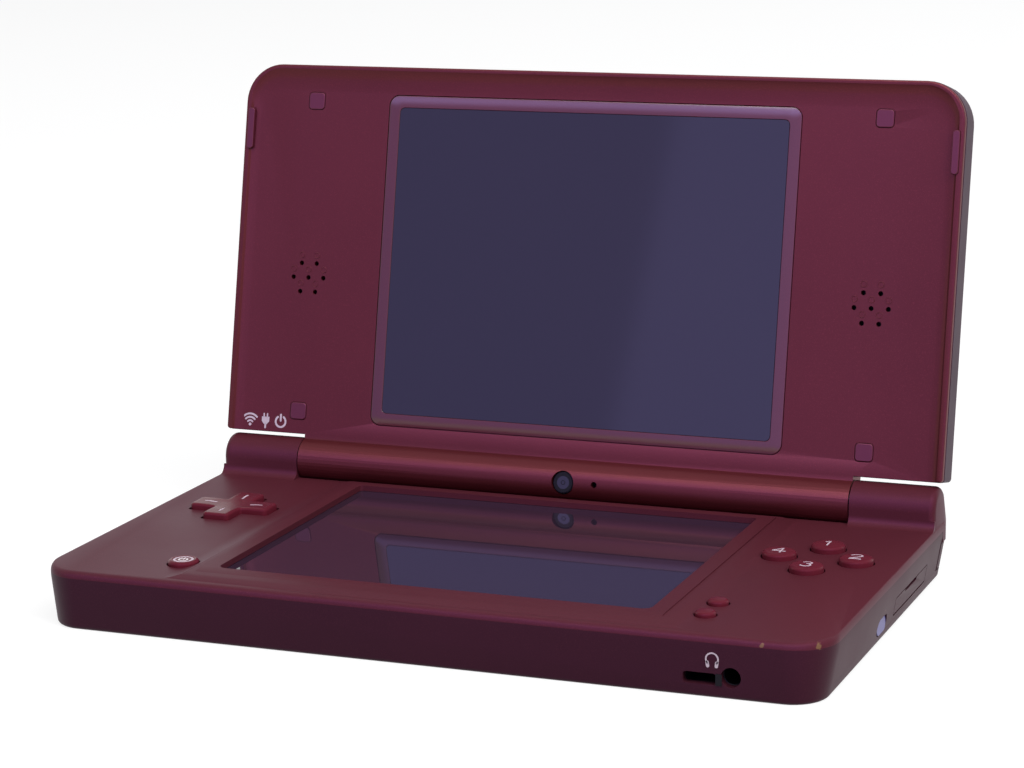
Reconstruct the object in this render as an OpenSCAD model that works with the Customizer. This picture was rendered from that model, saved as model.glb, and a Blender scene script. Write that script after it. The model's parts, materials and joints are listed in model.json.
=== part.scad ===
// Clamshell handheld game console, standing open as in use.
// Origin: centre of the underside of the lower half. X runs to the right, Y to the hinge, Z up.
// Lid pieces are drawn closed around the hinge axis and then swung open by lid_open.

/* [Body] */
// Width over the side walls
body_w = 161; // [150:0.5:175]
// Depth from the front wall to the rear wall
body_d = 91.4; // [88:0.2:100]
// Height of the deck over the underside
deck_z = 11.8; // [11.4:0.1:13]
// Height with the lid shut
closed_h = 21.2; // [20.8:0.1:22]
// Plan radius of the front corners
corner_r = 8.5; // [5:0.5:12]
// Plan radius of the rear corners
rear_r = 3.5; // [3:0.1:5]
// Thickness of the lower shell's walls
wall = 1.6; // [1.4:0.1:1.9]
// Thickness of the lower shell's floor
floor_t = 1.8; // [1.6:0.1:2]
// Thickness of the deck
deck_t = 1.4; // [1.2:0.1:1.6]
// Rounding of the deck's front edge
deck_edge_r = 1.3; // [0.8:0.1:1.4]
// Rounding of the deck's side edges
deck_side_r = 0.4; // [0.3:0.05:0.8]
// How far the side walls lean in towards the underside
side_taper = 1.5; // [0.9:0.1:1.6]
// How far the front wall leans in towards the underside
front_taper = 0.2; // [0:0.1:0.9]
// How far the rear wall leans in towards the underside
rear_taper = 0.9; // [0.4:0.1:1.2]
// Rounding between the walls and the underside
foot_r = 0.9; // [0.6:0.1:1.4]

/* [Lower screen] */
// From the side wall to the opening over the touch glass
screen_side = 36; // [34.5:0.5:37.5]
// From the front wall to the opening
screen_front = 8.4; // [6.5:0.1:9]
// From the opening to the hinge axis
screen_rear = 9.9; // [9.7:0.1:12]
// Height of the screen surround over the deck
surround_h = 1.15; // [0.8:0.05:1.2]
// Height of the flat rim over the ramp beside it
rim_step = 0.25; // [0.1:0.05:0.4]
// Width of the surround's flat rim beside the opening
surround_rim = 3.3; // [2.8:0.1:4]
// Width of the ramp from the surround down to the deck
ramp_w = 5.5; // [4:0.5:6]
// Thickness of the plastic over the touch glass
bezel_t = 1.2; // [1:0.05:1.3]
// How far the touch glass reaches under the surround
glass_lap = 1.2; // [0.8:0.1:1.3]
// Thickness of the touch glass
glass_t = 0.8; // [0.6:0.1:0.9]

/* [Displays] */
// How far a display module reaches past the opening in front of it
display_lap = 0.5; // [0.3:0.05:0.5]
// Thickness of a display module
display_t = 2.2; // [2:0.1:2.3]
// Sheet thickness of the display frames
frame_t = 0.4; // [0.3:0.05:0.5]

/* [Hinge] */
// Hinge axis ahead of the rear wall
hinge_setback = 6.4; // [6.2:0.1:7]
// Radius of the barrel on the lid
barrel_r = 4.75; // [4.5:0.05:4.9]
// Radius of the end knuckles
knuckle_r = 4.65; // [4.4:0.05:4.8]
// From the side wall to the seam beside the barrel
knuckle_w = 18.25; // [17:0.25:20]
// Step of a knuckle's outer end inside the side wall
knuckle_step = 0.4; // [0:0.1:0.6]
// Gap between a knuckle and the barrel
seam = 0.25; // [0.2:0.05:0.4]
// Gap between the barrel and its trough in the deck
trough_gap = 0.35; // [0.3:0.05:0.5]
// Radius of the hinge cartridge and the hollow pin
hinge_pin_r = 3; // [2.6:0.1:3.1]
// Radius of the hinge cartridge's shaft
hinge_shaft_r = 1.5; // [1.2:0.1:1.8]
// Opening angle of the lid
lid_open = 102.6; // [60:0.2:140]

/* [Lid] */
// Outer face of the lid over the hinge axis
lid_out = 6; // [5.8:0.1:6.4]
// Inner face of the lid under the hinge axis
lid_in = 1.7; // [1.5:0.05:1.8]
// Height of the rim over the inner face
lid_rim_h = 1; // [0.6:0.1:1.1]
// Gap from the hinge axis to the lid's lower edge beside the barrel
lid_foot = 5.35; // [5.2:0.05:5.6]
// How far the shut lid stands past the front wall
lid_lip = 1.5; // [0.4:0.1:1.8]
// How far the lid stands past the side walls
lid_side = 0.3; // [0:0.1:0.6]
// Rounding of the lid's outer edge
lid_edge_r = 1.1; // [0.8:0.1:2]
// Wall thickness of the outer cover
cover_t = 1.4; // [1.2:0.1:1.6]
// Thickness of the inner shell
face_t = 1.6; // [1.4:0.1:1.7]
// Step of the inner shell inside the cover's outline
face_step = 0.1; // [0.1:0.05:0.6]
// Seam height of the lid below the hinge axis
lid_seam = 1.2; // [0.8:0.1:1.3]

/* [Upper screen] */
// From the lid's side to the lens panel
lens_side = 34.4; // [33.5:0.1:36]
// From the lens panel to the lid's free edge
lens_top = 6.2; // [5.7:0.1:8]
// From the hinge axis to the lens panel
lens_foot = 8.6; // [8.4:0.1:10]
// Corner radius of the lens panel
lens_r = 2.2; // [1:0.1:4]
// Thickness of the lens panel
lens_t = 0.9; // [0.7:0.05:1]
// Border of the lens panel beside the clear window
window_side = 2.5; // [2.1:0.1:4]
// Border of the lens panel above and below the clear window
window_edge = 2.6; // [2.3:0.1:4]

/* [Speakers] */
// Speaker centre from the lid's side
speaker_side = 17.3; // [14:0.1:19]
// Speaker centre from the hinge axis
speaker_u = 39.8; // [34:0.2:50]
// Spacing of the sound holes
grille_pitch = 3.6; // [3:0.1:4]
// Diameter of a sound hole
grille_d = 1.05; // [0.8:0.05:1.6]

/* [Controls] */
// From the side wall to the middle of the directional pad
dpad_side = 16.75; // [15.5:0.25:18]
// Middle of the directional pad, behind the middle
dpad_y = 7.4; // [0:0.1:10]
// Tip to tip size of the directional pad
dpad_span = 17.8; // [16:0.1:20]
// Width of the directional pad's arms
dpad_arm = 6; // [5.4:0.1:7]
// Height of the directional pad over the deck
dpad_h = 1.25; // [1:0.05:1.4]
// From the side wall to the middle of the round buttons
face_side = 17; // [15.5:0.25:17.5]
// Middle of the round buttons, behind the middle
face_y = 7.4; // [0:0.1:10]
// Distance of a round button from their middle
face_pitch = 7.75; // [7:0.05:8]
// Diameter of a round button
face_d = 6.8; // [6:0.1:7.2]
// Height of a round button over the deck
face_h = 1.4; // [0.8:0.05:1.45]
// Travel of the round buttons
press = 0.6; // [0.4:0.05:0.65]
// From the side wall to the start and select buttons
option_side = 26.4; // [24:0.1:26.5]
// From the front wall to the start button
start_front = 19.3; // [18:0.1:21]
// Spacing of the start and select buttons
option_pitch = 7.6; // [7:0.1:8]
// Diameter of the start and select buttons
option_d = 4; // [3.4:0.1:4.4]
// From the side wall to the power button
power_side = 26.5; // [24:0.1:27]
// From the front wall to the power button
power_front = 12.3; // [12:0.1:15]
// Diameter of the power button
power_d = 6.2; // [5:0.1:6.6]
// Clearance round each button
button_gap = 0.25; // [0.2:0.05:0.35]
// Width of a shoulder button
shoulder_w = 30.5; // [28:0.5:32]
// Underside of a shoulder button
shoulder_z = 2.3; // [2.1:0.1:2.6]
// Height of a shoulder button
shoulder_h = 5.5; // [5:0.1:5.6]
// Depth of a shoulder button round the corner
shoulder_d = 5.5; // [5:0.1:6]
// Length of the volume rocker
volume_l = 16; // [12:0.5:18]

/* [Sockets] */
// From the side wall to the headphone jack
jack_side = 17.9; // [16:0.1:19]
// Headphone jack over the underside
jack_z = 4.2; // [4:0.1:4.4]
// Radius of the headphone jack's bore
jack_r = 1.8; // [1.7:0.05:1.9]
// Game card slot, right of the middle
card_x = 15.25; // [10:0.25:16]
// Width of the game card slot
card_w = 33.6; // [32:0.1:34]
// Height of the game card slot
card_h = 4.2; // [4.1:0.05:4.3]
// Width of the memory card slot
memory_w = 24.2; // [24:0.1:25]
// Length of the memory card socket
memory_l = 29.6; // [26:0.2:30]
// Middle of the memory card slot, ahead of the rear wall
memory_rear = 28.6; // [27.7:0.1:28.7]
// Width of the memory card door
door_w = 24.4; // [24.2:0.2:26]
// Charge socket, right of the middle
charge_x = -24; // [-30:0.5:-15]
// Width of the charge socket
charge_w = 8; // [7:0.1:9]
// Width of the stylus
stylus_w = 6.4; // [5:0.1:6.6]
// Thickness of the stylus
stylus_t = 3; // [2.6:0.1:3.1]
// Length of the stylus
stylus_l = 95.5; // [86:0.5:96]
// Length of the stylus's thick end
stylus_grip_l = 24; // [15:1:30]
// Stylus, behind the middle
stylus_y = -4.2; // [-5:0.1:-3.8]

/* [Hidden] */

// Fits and fine clearances
touch = 0.05;
running = 0.05;
loose = 0.15;
door_gap = 0.2;
far = 60;
thin = 0.01;

// Places that follow from the body
half_w = body_w / 2;
half_d = body_d / 2;
split_z = deck_z - deck_t;
hinge_y = half_d - hinge_setback;
hinge_z = closed_h - lid_out;
lid_reach = hinge_y + half_d + lid_lip;
inner_w = half_w - wall;
inner_y = half_d - wall;
barrel_half = half_w - knuckle_w - seam;
knuckle_x = half_w - knuckle_w;
trough_r = barrel_r + trough_gap;
channel_wall = 0.8;
channel_z = hinge_z - trough_r - channel_wall;
surround_z = deck_z + surround_h;
screen_w = body_w - 2 * screen_side;
screen_d = hinge_y - screen_rear + half_d - screen_front;
screen_y = (hinge_y - screen_rear - half_d + screen_front) / 2;
lid_half = half_w + lid_side;
lens_w = 2 * (lid_half - lens_side);
lens_h = lid_reach - lens_top - lens_foot;
lens_u = lens_foot + lens_h / 2;
window_w = lens_w - 2 * window_side;
window_h = lens_h - 2 * window_edge;

// Places of the controls, sockets and speakers
dpad_x = half_w - dpad_side;
face_x = half_w - face_side;
option_x = half_w - option_side;
start_y = start_front - half_d;
power_x = half_w - power_side;
power_y = power_front - half_d;
jack_x = half_w - jack_side;
speaker_x = lid_half - speaker_side;

// Stack under the lower screen
display_w = screen_w + 2 * display_lap;
display_d = screen_d + 2 * display_lap;
glass_z = surround_z - bezel_t - touch - glass_t;
display_z = glass_z - touch - display_t;
display_frame_z = display_z - touch - frame_t;
board_t = 1;
board_z = display_frame_z - 0.3 - board_t;
board_top = board_z + board_t;
under_board = board_z - touch;
lower_frame_w = display_w + 2 * (frame_t + 0.1);
lower_frame_d = display_d + 2 * (frame_t + 0.1);

// Colours
wine = [0.36, 0.12, 0.2];
dark_wine = [0.22, 0.1, 0.16];
gloss_wine = [0.45, 0.12, 0.2];
steel = [0.7, 0.7, 0.72];
charcoal = [0.15, 0.15, 0.17];
board_green = [0.1, 0.35, 0.22];
rubber_grey = [0.6, 0.6, 0.62];

// Common shapes
module rounded_rect(w, d, r) {
    square([w - 2 * r, d], center = true);
    square([w, d - 2 * r], center = true);
    for (x = [-1, 1], y = [-1, 1]) {
        translate([x * (w / 2 - r), y * (d / 2 - r)]) circle(r = r, $fn = 48);
    }
}

module plate(w, d, r, h) {
    linear_extrude(height = h) rounded_rect(w, d, r);
}

module rod(r, h) {
    cylinder(r = r, h = h, $fn = 64);
}

// Outline with its own radii at the front and at the rear, drawn from y = -front to y = rear
module outline(half, front, rear, r_front, r_rear) {
    translate([r_front - half, -front]) square([2 * (half - r_front), front + rear - r_rear]);
    translate([-half, r_front - front]) square([2 * half, front + rear - r_front - r_rear]);
    translate([r_rear - half, 0]) square([2 * (half - r_rear), rear]);
    for (s = [-1, 1]) {
        translate([s * (half - r_front), r_front - front]) circle(r = r_front, $fn = 48);
        translate([s * (half - r_rear), rear - r_rear]) circle(r = r_rear, $fn = 48);
    }
}

module body_outline(inset) {
    outline(half_w - inset, half_d - inset, half_d - inset,
        corner_r - inset, max(rear_r - inset, 0.4));
}

module body_band(z, h, inset) {
    translate([0, 0, z]) linear_extrude(height = h) body_outline(inset);
}

// Outline of the leaning walls at their foot, drawn smaller by inset
module foot_slice(z, inset) {
    translate([0, 0, z]) linear_extrude(height = thin)
        outline(half_w - side_taper - inset, half_d - front_taper - inset, half_d - rear_taper - inset,
            corner_r - side_taper - inset, max(rear_r - rear_taper - inset, 0.4));
}

// Height at which the leaning walls turn upright
upright_z = 0.9 * split_z;

// Outside of the lower half below the deck, with leaning walls and a rounded foot
module body_block() {
    hull() {
        for (a = [0:22.5:90]) {
            foot_slice(foot_r * (1 - cos(a)), foot_r * (1 - sin(a)));
        }
        body_band(upright_z, split_z - upright_z, 0);
    }
}

module body_cavity() {
    hull() {
        foot_slice(floor_t, wall + 0.7 * foot_r);
        foot_slice(floor_t + 1.5, wall);
        body_band(upright_z, split_z + 1 - upright_z, wall);
    }
}

// Box given by its low and high corners
module span(low, high) {
    translate(low) cube(high - low);
}

// Case screws
inner_post_x = 40;
case_posts = [
    [inner_w - 5.4, -(half_d - 9.7)], [-(inner_w - 5.4), -(half_d - 9.7)],
    [inner_w - 5.4, half_d - 11.7], [-(inner_w - 5.4), half_d - 11.7],
    [inner_post_x, half_d - 9.2], [-inner_post_x, half_d - 9.2]
];
post_r = 2.2;
post_joint_z = 6;
screw_r = 0.8;
screw_head_r = 1.6;
screw_head_t = 0.45;
screw_sink = 1.3;
cover_sink = 0.55;
screw_top = 8.5;

// Battery bay, beside the stylus
stylus_end = half_w - 1.15;
bay_left = 10.5 - half_w;
bay_right = stylus_end - stylus_l - 2.25;
bay_x = (bay_left + bay_right) / 2;
bay_y = -10;
bay_w = bay_right - bay_left;
bay_d = 41;
cover_w = bay_w + 8;
cover_d = bay_d + 5;
cover_plate_t = 1;
battery_w = bay_w - 2;
battery_d = bay_d - 2;
battery_z = floor_t - 0.4;
battery_t = under_board - battery_z - 0.2;
cover_screws = [[bay_x + cover_w / 2 - 2, bay_y - 14], [bay_x + cover_w / 2 - 2, bay_y + 14]];

// Sockets
stylus_z = floor_t + 0.15 + stylus_t / 2;
card_z = under_board - 0.25 - card_h;
memory_h = 2.3;
memory_y = half_d - memory_rear;
memory_end = inner_w - 1.65;
memory_z = under_board - 0.9 - memory_h;
door_z = memory_z - 0.85;
door_h = 3.4;
door_axis_x = half_w - 1.55;
door_axis_z = door_z + 0.5;
door_pin_r = 0.4;
charge_h = 3.2;
charge_z = under_board - 0.9 - charge_h;
slot_w = 6.3;
slot_h = 2.2;
slot_x = jack_x - 5.95;
slot_z = jack_z - 0.6;
jack_l = 12.4;
card_l = 33;
charge_l = 7;

// Shoulder buttons
shoulder_in = half_w - shoulder_w;
shoulder_pin_x = shoulder_in + 1.5;
shoulder_pin_y = half_d - 2.8;
shoulder_pin_r = 0.75;
shoulder_t = 2.5;
shoulder_gap = 0.3;
shoulder_front_gap = 0.8;
shoulder_front = half_d - shoulder_d;
shoulder_cut_z = shoulder_z + shoulder_h + shoulder_gap;
nub_x = shoulder_pin_x + 15;

// Volume rocker
volume_y = 10;
volume_z = 3.1;
volume_h = 3.4;
volume_t = 1.5;
volume_pin_r = 0.58;
volume_x = -(half_w - 0.45);
volume_pin_x = volume_x + volume_t + 0.7;

// Boxes of the sockets and the volume switch, larger by gap where they cut a pocket
module jack_box(gap) {
    span([slot_x - slot_w / 2 - 0.6 - gap, 0.3 - inner_y - gap, floor_t + 0.08 - gap],
        [jack_x + jack_r + 1.1 + gap, jack_l + 1.7 - half_d + gap, under_board + gap]);
}

module card_box(gap) {
    span([card_x - card_w / 2 - 1 - gap, inner_y - card_l - 1 - gap, card_z - 0.4 - gap],
        [card_x + card_w / 2 + 1 + gap, inner_y - 0.1 + gap, under_board + gap]);
}

module charge_box(gap) {
    span([charge_x - charge_w / 2 - 1.2 - gap, inner_y - charge_l - 1.5 - gap, charge_z - 0.85 - gap],
        [charge_x + charge_w / 2 + 1.2 + gap, inner_y - 0.2 + gap, under_board + gap]);
}

module volume_box(gap) {
    span([volume_pin_x - 0.75 - gap, volume_y - 6 - gap, volume_z - 0.8 - gap],
        [volume_pin_x + 3.2 + gap, volume_y + 6 + gap, under_board + gap]);
}

module stadium(w, h) {
    square([w - h, h], center = true);
    for (s = [-1, 1]) translate([s * (w - h) / 2, 0]) circle(r = h / 2, $fn = 48);
}

// Section across the body's length, extruded along X from x0 by length
module along_x(x0, length) {
    translate([x0, 0, 0]) rotate([90, 0, 90]) linear_extrude(height = length) children();
}

// Front wall opening, extruded along Y from y0 by length
module along_y(y0, length) {
    translate([0, y0 + length, 0]) rotate([90, 0, 0]) linear_extrude(height = length) children();
}

module shoulder_space(gap, front_gap) {
    span([shoulder_in - gap, shoulder_front - front_gap, shoulder_z - gap],
        [half_w + 1, half_d + 1, shoulder_z + shoulder_h + gap]);
}

module lower_shell() {
    color(dark_wine) difference() {
        union() {
            difference() {
                body_block();
                body_cavity();
            }
            // Posts for the case screws
            for (p = case_posts) {
                translate([p[0], p[1], floor_t - 0.2])
                    rod(post_r, post_joint_z - touch - floor_t + 0.2);
            }
            for (p = cover_screws) {
                translate([p[0], p[1], floor_t - 0.2]) rod(post_r, 3.2);
            }
            // Rails beside the stylus
            for (s = [-1, 1]) {
                translate([inner_w - stylus_l + 4, stylus_y + s * (stylus_w / 2 + 0.75) - 0.5, floor_t - 0.2])
                    cube([stylus_l - 4.3, 1, stylus_t + 0.7]);
            }
            // Lugs over the shoulder buttons' pins
            for (s = [-1, 1]) {
                translate([s * (shoulder_pin_x + 0.1) - 2, shoulder_pin_y - 1.7, shoulder_cut_z])
                    cube([4, 3.5, channel_z - touch - shoulder_cut_z]);
            }
            // Walls of the battery bay
            difference() {
                translate([bay_x, bay_y, floor_t - 0.2]) plate(bay_w + 2, bay_d + 2, 2, 3.2);
                translate([bay_x, bay_y, 0]) plate(bay_w, bay_d, 1.5, 6);
            }
        }
        // Knuckle seat at the rear corners
        for (s = [-1, 1]) {
            translate([s * (half_w - knuckle_w / 2), half_d, shoulder_cut_z + far / 2])
                cube([knuckle_w, 2 * (shoulder_d + 0.2), far], center = true);
        }
        // Shoulder buttons
        shoulder_space(shoulder_gap, shoulder_front_gap);
        mirror([1, 0, 0]) shoulder_space(shoulder_gap, shoulder_front_gap);
        for (s = [-1, 1]) {
            translate([s * shoulder_pin_x, shoulder_pin_y, floor_t - 0.8])
                rod(shoulder_pin_r + running, far);
        }
        // Screws
        for (p = case_posts) {
            translate([p[0], p[1], -1]) rod(screw_r + 0.1, far);
            translate([p[0], p[1], -1]) rod(screw_head_r + 0.1, 1 + screw_sink);
        }
        for (p = cover_screws) {
            translate([p[0], p[1], -1]) rod(screw_r + running, 5);
        }
        // Battery bay and the recess of its cover
        translate([bay_x, bay_y, -1]) plate(bay_w, bay_d, 1.5, 6);
        translate([bay_x, bay_y, -1]) plate(cover_w, cover_d, 3, 1 + cover_plate_t);
        // Headphone jack with the slot beside it
        translate([jack_x, -half_d - 1, jack_z]) rotate([-90, 0, 0]) rod(jack_r + 0.1, wall + 2.6);
        along_y(-half_d - 1, wall + 2.6) translate([slot_x, slot_z]) rounded_rect(slot_w, slot_h, 0.6);
        // Stylus
        along_x(inner_w - 3, wall + 6) translate([stylus_y, stylus_z])
            stadium(stylus_w + 0.5, stylus_t + 0.5);
        along_x(inner_w - stylus_l, stylus_l) translate([stylus_y, stylus_z])
            stadium(stylus_w + 0.3, stylus_t + 0.2);
        // Memory card door with its pin holes
        span([inner_w - 3, memory_y - door_w / 2 - door_gap, door_z - door_gap],
            [half_w + 1, memory_y + door_w / 2 + door_gap, door_z + door_h + door_gap]);
        translate([door_axis_x, memory_y, door_axis_z]) rotate([90, 0, 0])
            translate([0, 0, -door_w / 2 - 1]) rod(door_pin_r + running, door_w + 2);
        // Volume rocker
        span([-half_w - 1, volume_y - volume_l / 2 - door_gap, volume_z - door_gap],
            [-inner_w + 3, volume_y + volume_l / 2 + door_gap, volume_z + volume_h + door_gap]);
        // Game card slot and charge socket
        span([card_x - card_w / 2, inner_y - 2, card_z],
            [card_x + card_w / 2, half_d + 1, card_z + card_h]);
        along_y(inner_y - 2, wall + 3) translate([charge_x, charge_z + charge_h / 2])
            rounded_rect(charge_w, charge_h, 0.8);
        // Pockets in the leaning walls
        jack_box(touch);
        card_box(touch);
        charge_box(touch);
        volume_box(touch);
    }
}

// Half a smooth step from 0 to 1
function ease(t) = (1 - cos(180 * t)) / 2;
steps = 8;
surround_half = screen_w / 2 + surround_rim;
foot_half = surround_half + ramp_w;
ramp_h = surround_h - rim_step;

// Section of the screen surround, seen from the front
module surround_section() {
    polygon(concat(
        [[-foot_half, split_z]],
        [for (i = [0:steps]) [-foot_half + ramp_w * i / steps, deck_z + ramp_h * ease(i / steps)]],
        [for (i = [steps:-1:0]) [foot_half - ramp_w * i / steps, deck_z + ramp_h * ease(i / steps)]],
        [[foot_half, split_z]]
    ));
}

roll_start = screen_y - screen_d / 2;
roll_l = half_d - 0.5 + roll_start;
roll_drop = 1.75;
surround_rear = hinge_y - 6.3;
rim_rear = surround_rear - 1.3;

// Section of the screen surround, seen from the side: it rolls off to the front
module surround_side() {
    polygon(concat(
        [[surround_rear, split_z], [surround_rear, surround_z - 0.35]],
        [[surround_rear - 0.5, surround_z]],
        [for (i = [0:steps])
            [roll_start - roll_l * i / steps, surround_z - roll_drop * pow(i / steps, 2)]],
        [[roll_start - roll_l, split_z]]
    ));
}

module surround() {
    intersection() {
        union() {
            along_y(-half_d, body_d) surround_section();
            span([-surround_half, -half_d, split_z], [surround_half, rim_rear, surround_z + 1]);
        }
        along_x(-half_w, body_w) surround_side();
    }
}

module deck_plate() {
    hull() {
        body_band(split_z, deck_t - deck_edge_r, 0);
        for (a = [0:22.5:67.5]) {
            side = deck_side_r * (1 - sin(a));
            translate([0, 0, deck_z - thin - deck_edge_r * (1 - cos(a))]) linear_extrude(height = thin)
                outline(half_w - side, half_d - deck_edge_r * (1 - sin(a)), half_d - side,
                    corner_r - side, rear_r - side);
        }
    }
}

// Slice of an end knuckle of width w, drawn smaller by inset towards the outer end
module knuckle_slice(x, w, inset) {
    along_x(x, w) {
        translate([hinge_y, hinge_z]) circle(r = knuckle_r - inset, $fn = 40);
        translate([hinge_y - knuckle_r + inset, split_z])
            square([half_d - 0.15 - hinge_y + knuckle_r - 2 * inset, deck_t]);
    }
}

knuckle_round = 1.3;
knuckle_end = half_w - knuckle_step;

module knuckle() {
    hull() {
        knuckle_slice(knuckle_x, knuckle_end - knuckle_round - knuckle_x, 0);
        for (a = [0:22.5:67.5]) {
            knuckle_slice(knuckle_end - thin - knuckle_round * (1 - cos(a)), thin,
                knuckle_round * (1 - sin(a)));
        }
    }
}

fillet_r = 2;

// Fillet between a knuckle's front and the deck, and the skirt behind the shoulder button
module knuckle_base() {
    along_x(knuckle_x, knuckle_w - 0.4) difference() {
        translate([hinge_y - knuckle_r - fillet_r, deck_z - 0.5]) square([fillet_r + 0.5, fillet_r + 0.5]);
        translate([hinge_y - knuckle_r - fillet_r, deck_z + fillet_r]) circle(r = fillet_r, $fn = 48);
    }
    intersection() {
        translate([0, 0, shoulder_cut_z + touch])
            linear_extrude(height = split_z - shoulder_cut_z) body_outline(0);
        translate([knuckle_x + 0.1, shoulder_front, 0]) cube([knuckle_w, shoulder_d + 1, deck_z]);
    }
}

module cross(span_l, arm, h) {
    linear_extrude(height = h) {
        rounded_rect(span_l, arm, 0.8);
        rounded_rect(arm, span_l, 0.8);
    }
}

face_places = [[0, 1], [1, 0], [0, -1], [-1, 0]];
option_places = [start_y, start_y - option_pitch];

guide_side = 4.9;
guide_pitch = 3.7;
guide_xs = [for (i = [0:2]) guide_side + i * guide_pitch - half_w];
guide_y = hinge_y + 0.6;
guide_floor = shoulder_cut_z + 0.6;
cartridge_l = 9.3;

module deck_shell() {
    color(wine) difference() {
        union() {
            deck_plate();
            surround();
            knuckle();
            mirror([1, 0, 0]) knuckle();
            knuckle_base();
            mirror([1, 0, 0]) knuckle_base();
            // Channel under the barrel
            span([-knuckle_x - 0.5, hinge_y - 5.9, channel_z],
                [knuckle_x + 0.5, inner_y - 0.2, split_z + 0.1]);
            // Posts for the case screws
            for (p = case_posts) {
                translate([p[0], p[1], post_joint_z]) rod(post_r, split_z - post_joint_z + 0.2);
            }
            // Rib round the display frame
            translate([0, screen_y, display_z]) linear_extrude(height = split_z - display_z + 0.1)
                difference() {
                    square([lower_frame_w + 3.4, lower_frame_d + 3.4], center = true);
                    square([lower_frame_w + 0.6, lower_frame_d + 0.6], center = true);
                }
        }
        // Trough of the barrel
        translate([-knuckle_x, hinge_y, hinge_z]) rotate([0, 90, 0]) rod(trough_r, 2 * knuckle_x);
        // Screen opening, and the pocket of the glass and the display behind it
        translate([0, screen_y, split_z]) linear_extrude(height = far)
            outline(screen_w / 2, screen_d / 2, screen_d / 2, 1.8, 0.8);
        translate([0, screen_y, split_z - 0.5])
            plate(screen_w + 2 * glass_lap + 2 * loose, screen_d + 2 * glass_lap + 2 * loose, 0.8,
                surround_z - bezel_t - split_z + 0.5);
        // Directional pad
        translate([-dpad_x, dpad_y, split_z - 1]) cross(dpad_span + 0.8, dpad_arm + 0.8, far);
        // Buttons
        for (p = face_places) {
            translate([face_x + p[0] * face_pitch, face_y + p[1] * face_pitch, split_z - 1])
                rod(face_d / 2 + button_gap, far);
        }
        for (y = option_places) {
            translate([option_x, y, split_z - 1]) rod(option_d / 2 + button_gap, far);
        }
        translate([-power_x, power_y, split_z - 1]) rod(power_d / 2 + button_gap, far);
        // Screw holes in the posts
        for (p = case_posts) {
            translate([p[0], p[1], post_joint_z - 1])
                rod(screw_r + running, screw_top + 1.3 - post_joint_z);
        }
        // Bores of the hinge cartridge and the hollow pin
        translate([-knuckle_x - cartridge_l / 2, hinge_y, hinge_z]) rotate([0, 90, 0])
            rod(hinge_pin_r + running, cartridge_l);
        translate([knuckle_x - 1, hinge_y, hinge_z]) rotate([0, 90, 0])
            rod(hinge_pin_r + running, knuckle_w - 2);
        // Space of the light guide in the left knuckle, and its three windows
        span([-half_w + 2, hinge_y - 2.6, guide_floor],
            [-knuckle_x - cartridge_l / 2 - 0.6, hinge_y + 3, hinge_z + 2.2]);
        for (x = guide_xs) {
            translate([x, guide_y, hinge_z]) linear_extrude(height = far) square([1.7, 1.1], center = true);
        }
    }
}

module battery_cover() {
    color(dark_wine) difference() {
        union() {
            translate([bay_x, bay_y, 0]) plate(cover_w - 0.3, cover_d - 0.3, 2.85, cover_plate_t - touch);
            // Stiffening frame on the inside
            translate([bay_x, bay_y, 0]) plate(bay_w - 0.6, bay_d - 0.6, 1.2, battery_z - 0.1);
        }
        translate([bay_x, bay_y, cover_plate_t - touch]) plate(bay_w - 6, bay_d - 6, 1.2, 2);
        for (p = cover_screws) {
            translate([p[0], p[1], -1]) rod(screw_r + 0.1, 4);
            translate([p[0], p[1], -1]) rod(screw_head_r + 0.1, 1 + cover_sink);
        }
        // Finger groove
        translate([bay_x - cover_w / 2 + 6, bay_y, -0.4]) plate(4, 16, 1.9, 0.8);
    }
}

// Countersunk drive in a screw's head
module screw(head_z, shaft_top) {
    difference() {
        union() {
            translate([0, 0, head_z]) rod(screw_head_r, screw_head_t);
            translate([0, 0, head_z]) rod(screw_r, shaft_top - head_z);
        }
        translate([0, 0, head_z - 0.1]) cross(1.7, 0.45, 0.3);
    }
}

module battery_cover_screws() {
    color(steel) for (p = cover_screws) {
        translate([p[0], p[1], 0]) screw(cover_sink - touch - screw_head_t, 3.6);
    }
}

module case_screws() {
    color(steel) for (p = case_posts) {
        translate([p[0], p[1], 0]) screw(screw_sink - touch - screw_head_t, screw_top);
    }
}

module touch_panel() {
    color([0.3, 0.28, 0.4, 0.5]) translate([0, screen_y, glass_z])
        plate(screen_w + 2 * glass_lap, screen_d + 2 * glass_lap, 0.7, glass_t);
}

module display(z) {
    translate([0, 0, z]) plate(display_w, display_d, 0.6, display_t);
}

// Pressed tray that holds a display, open towards its face
module display_tray(z) {
    wall_h = display_t * 0.7;
    difference() {
        translate([0, 0, z]) plate(lower_frame_w, lower_frame_d, 0.8, frame_t + wall_h);
        translate([0, 0, z + frame_t])
            plate(lower_frame_w - 2 * frame_t, lower_frame_d - 2 * frame_t, 0.65, wall_h + 1);
        for (x = [-1, 1], y = [-1, 1]) {
            translate([x * display_w / 4, y * display_d / 4, z - 1]) plate(30, 20, 2, 2);
        }
    }
}

module lower_display() {
    color([0.2, 0.2, 0.28]) translate([0, screen_y, 0]) display(display_z);
}

module lower_display_frame() {
    color(steel) translate([0, screen_y, 0]) display_tray(display_frame_z);
}

wing_half = inner_w - 2.4;
switch_board_w = 11;
// Chips under the main board: place, size and height
chips = [[-4, 0, 12, 12, 1.2], [44, -18, 12, 16, 1.4], [-4, -30, 14, 10, 1]];
radio_x = 20;
radio_y = -27;
radio_w = 28;
radio_d = 18;

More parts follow.
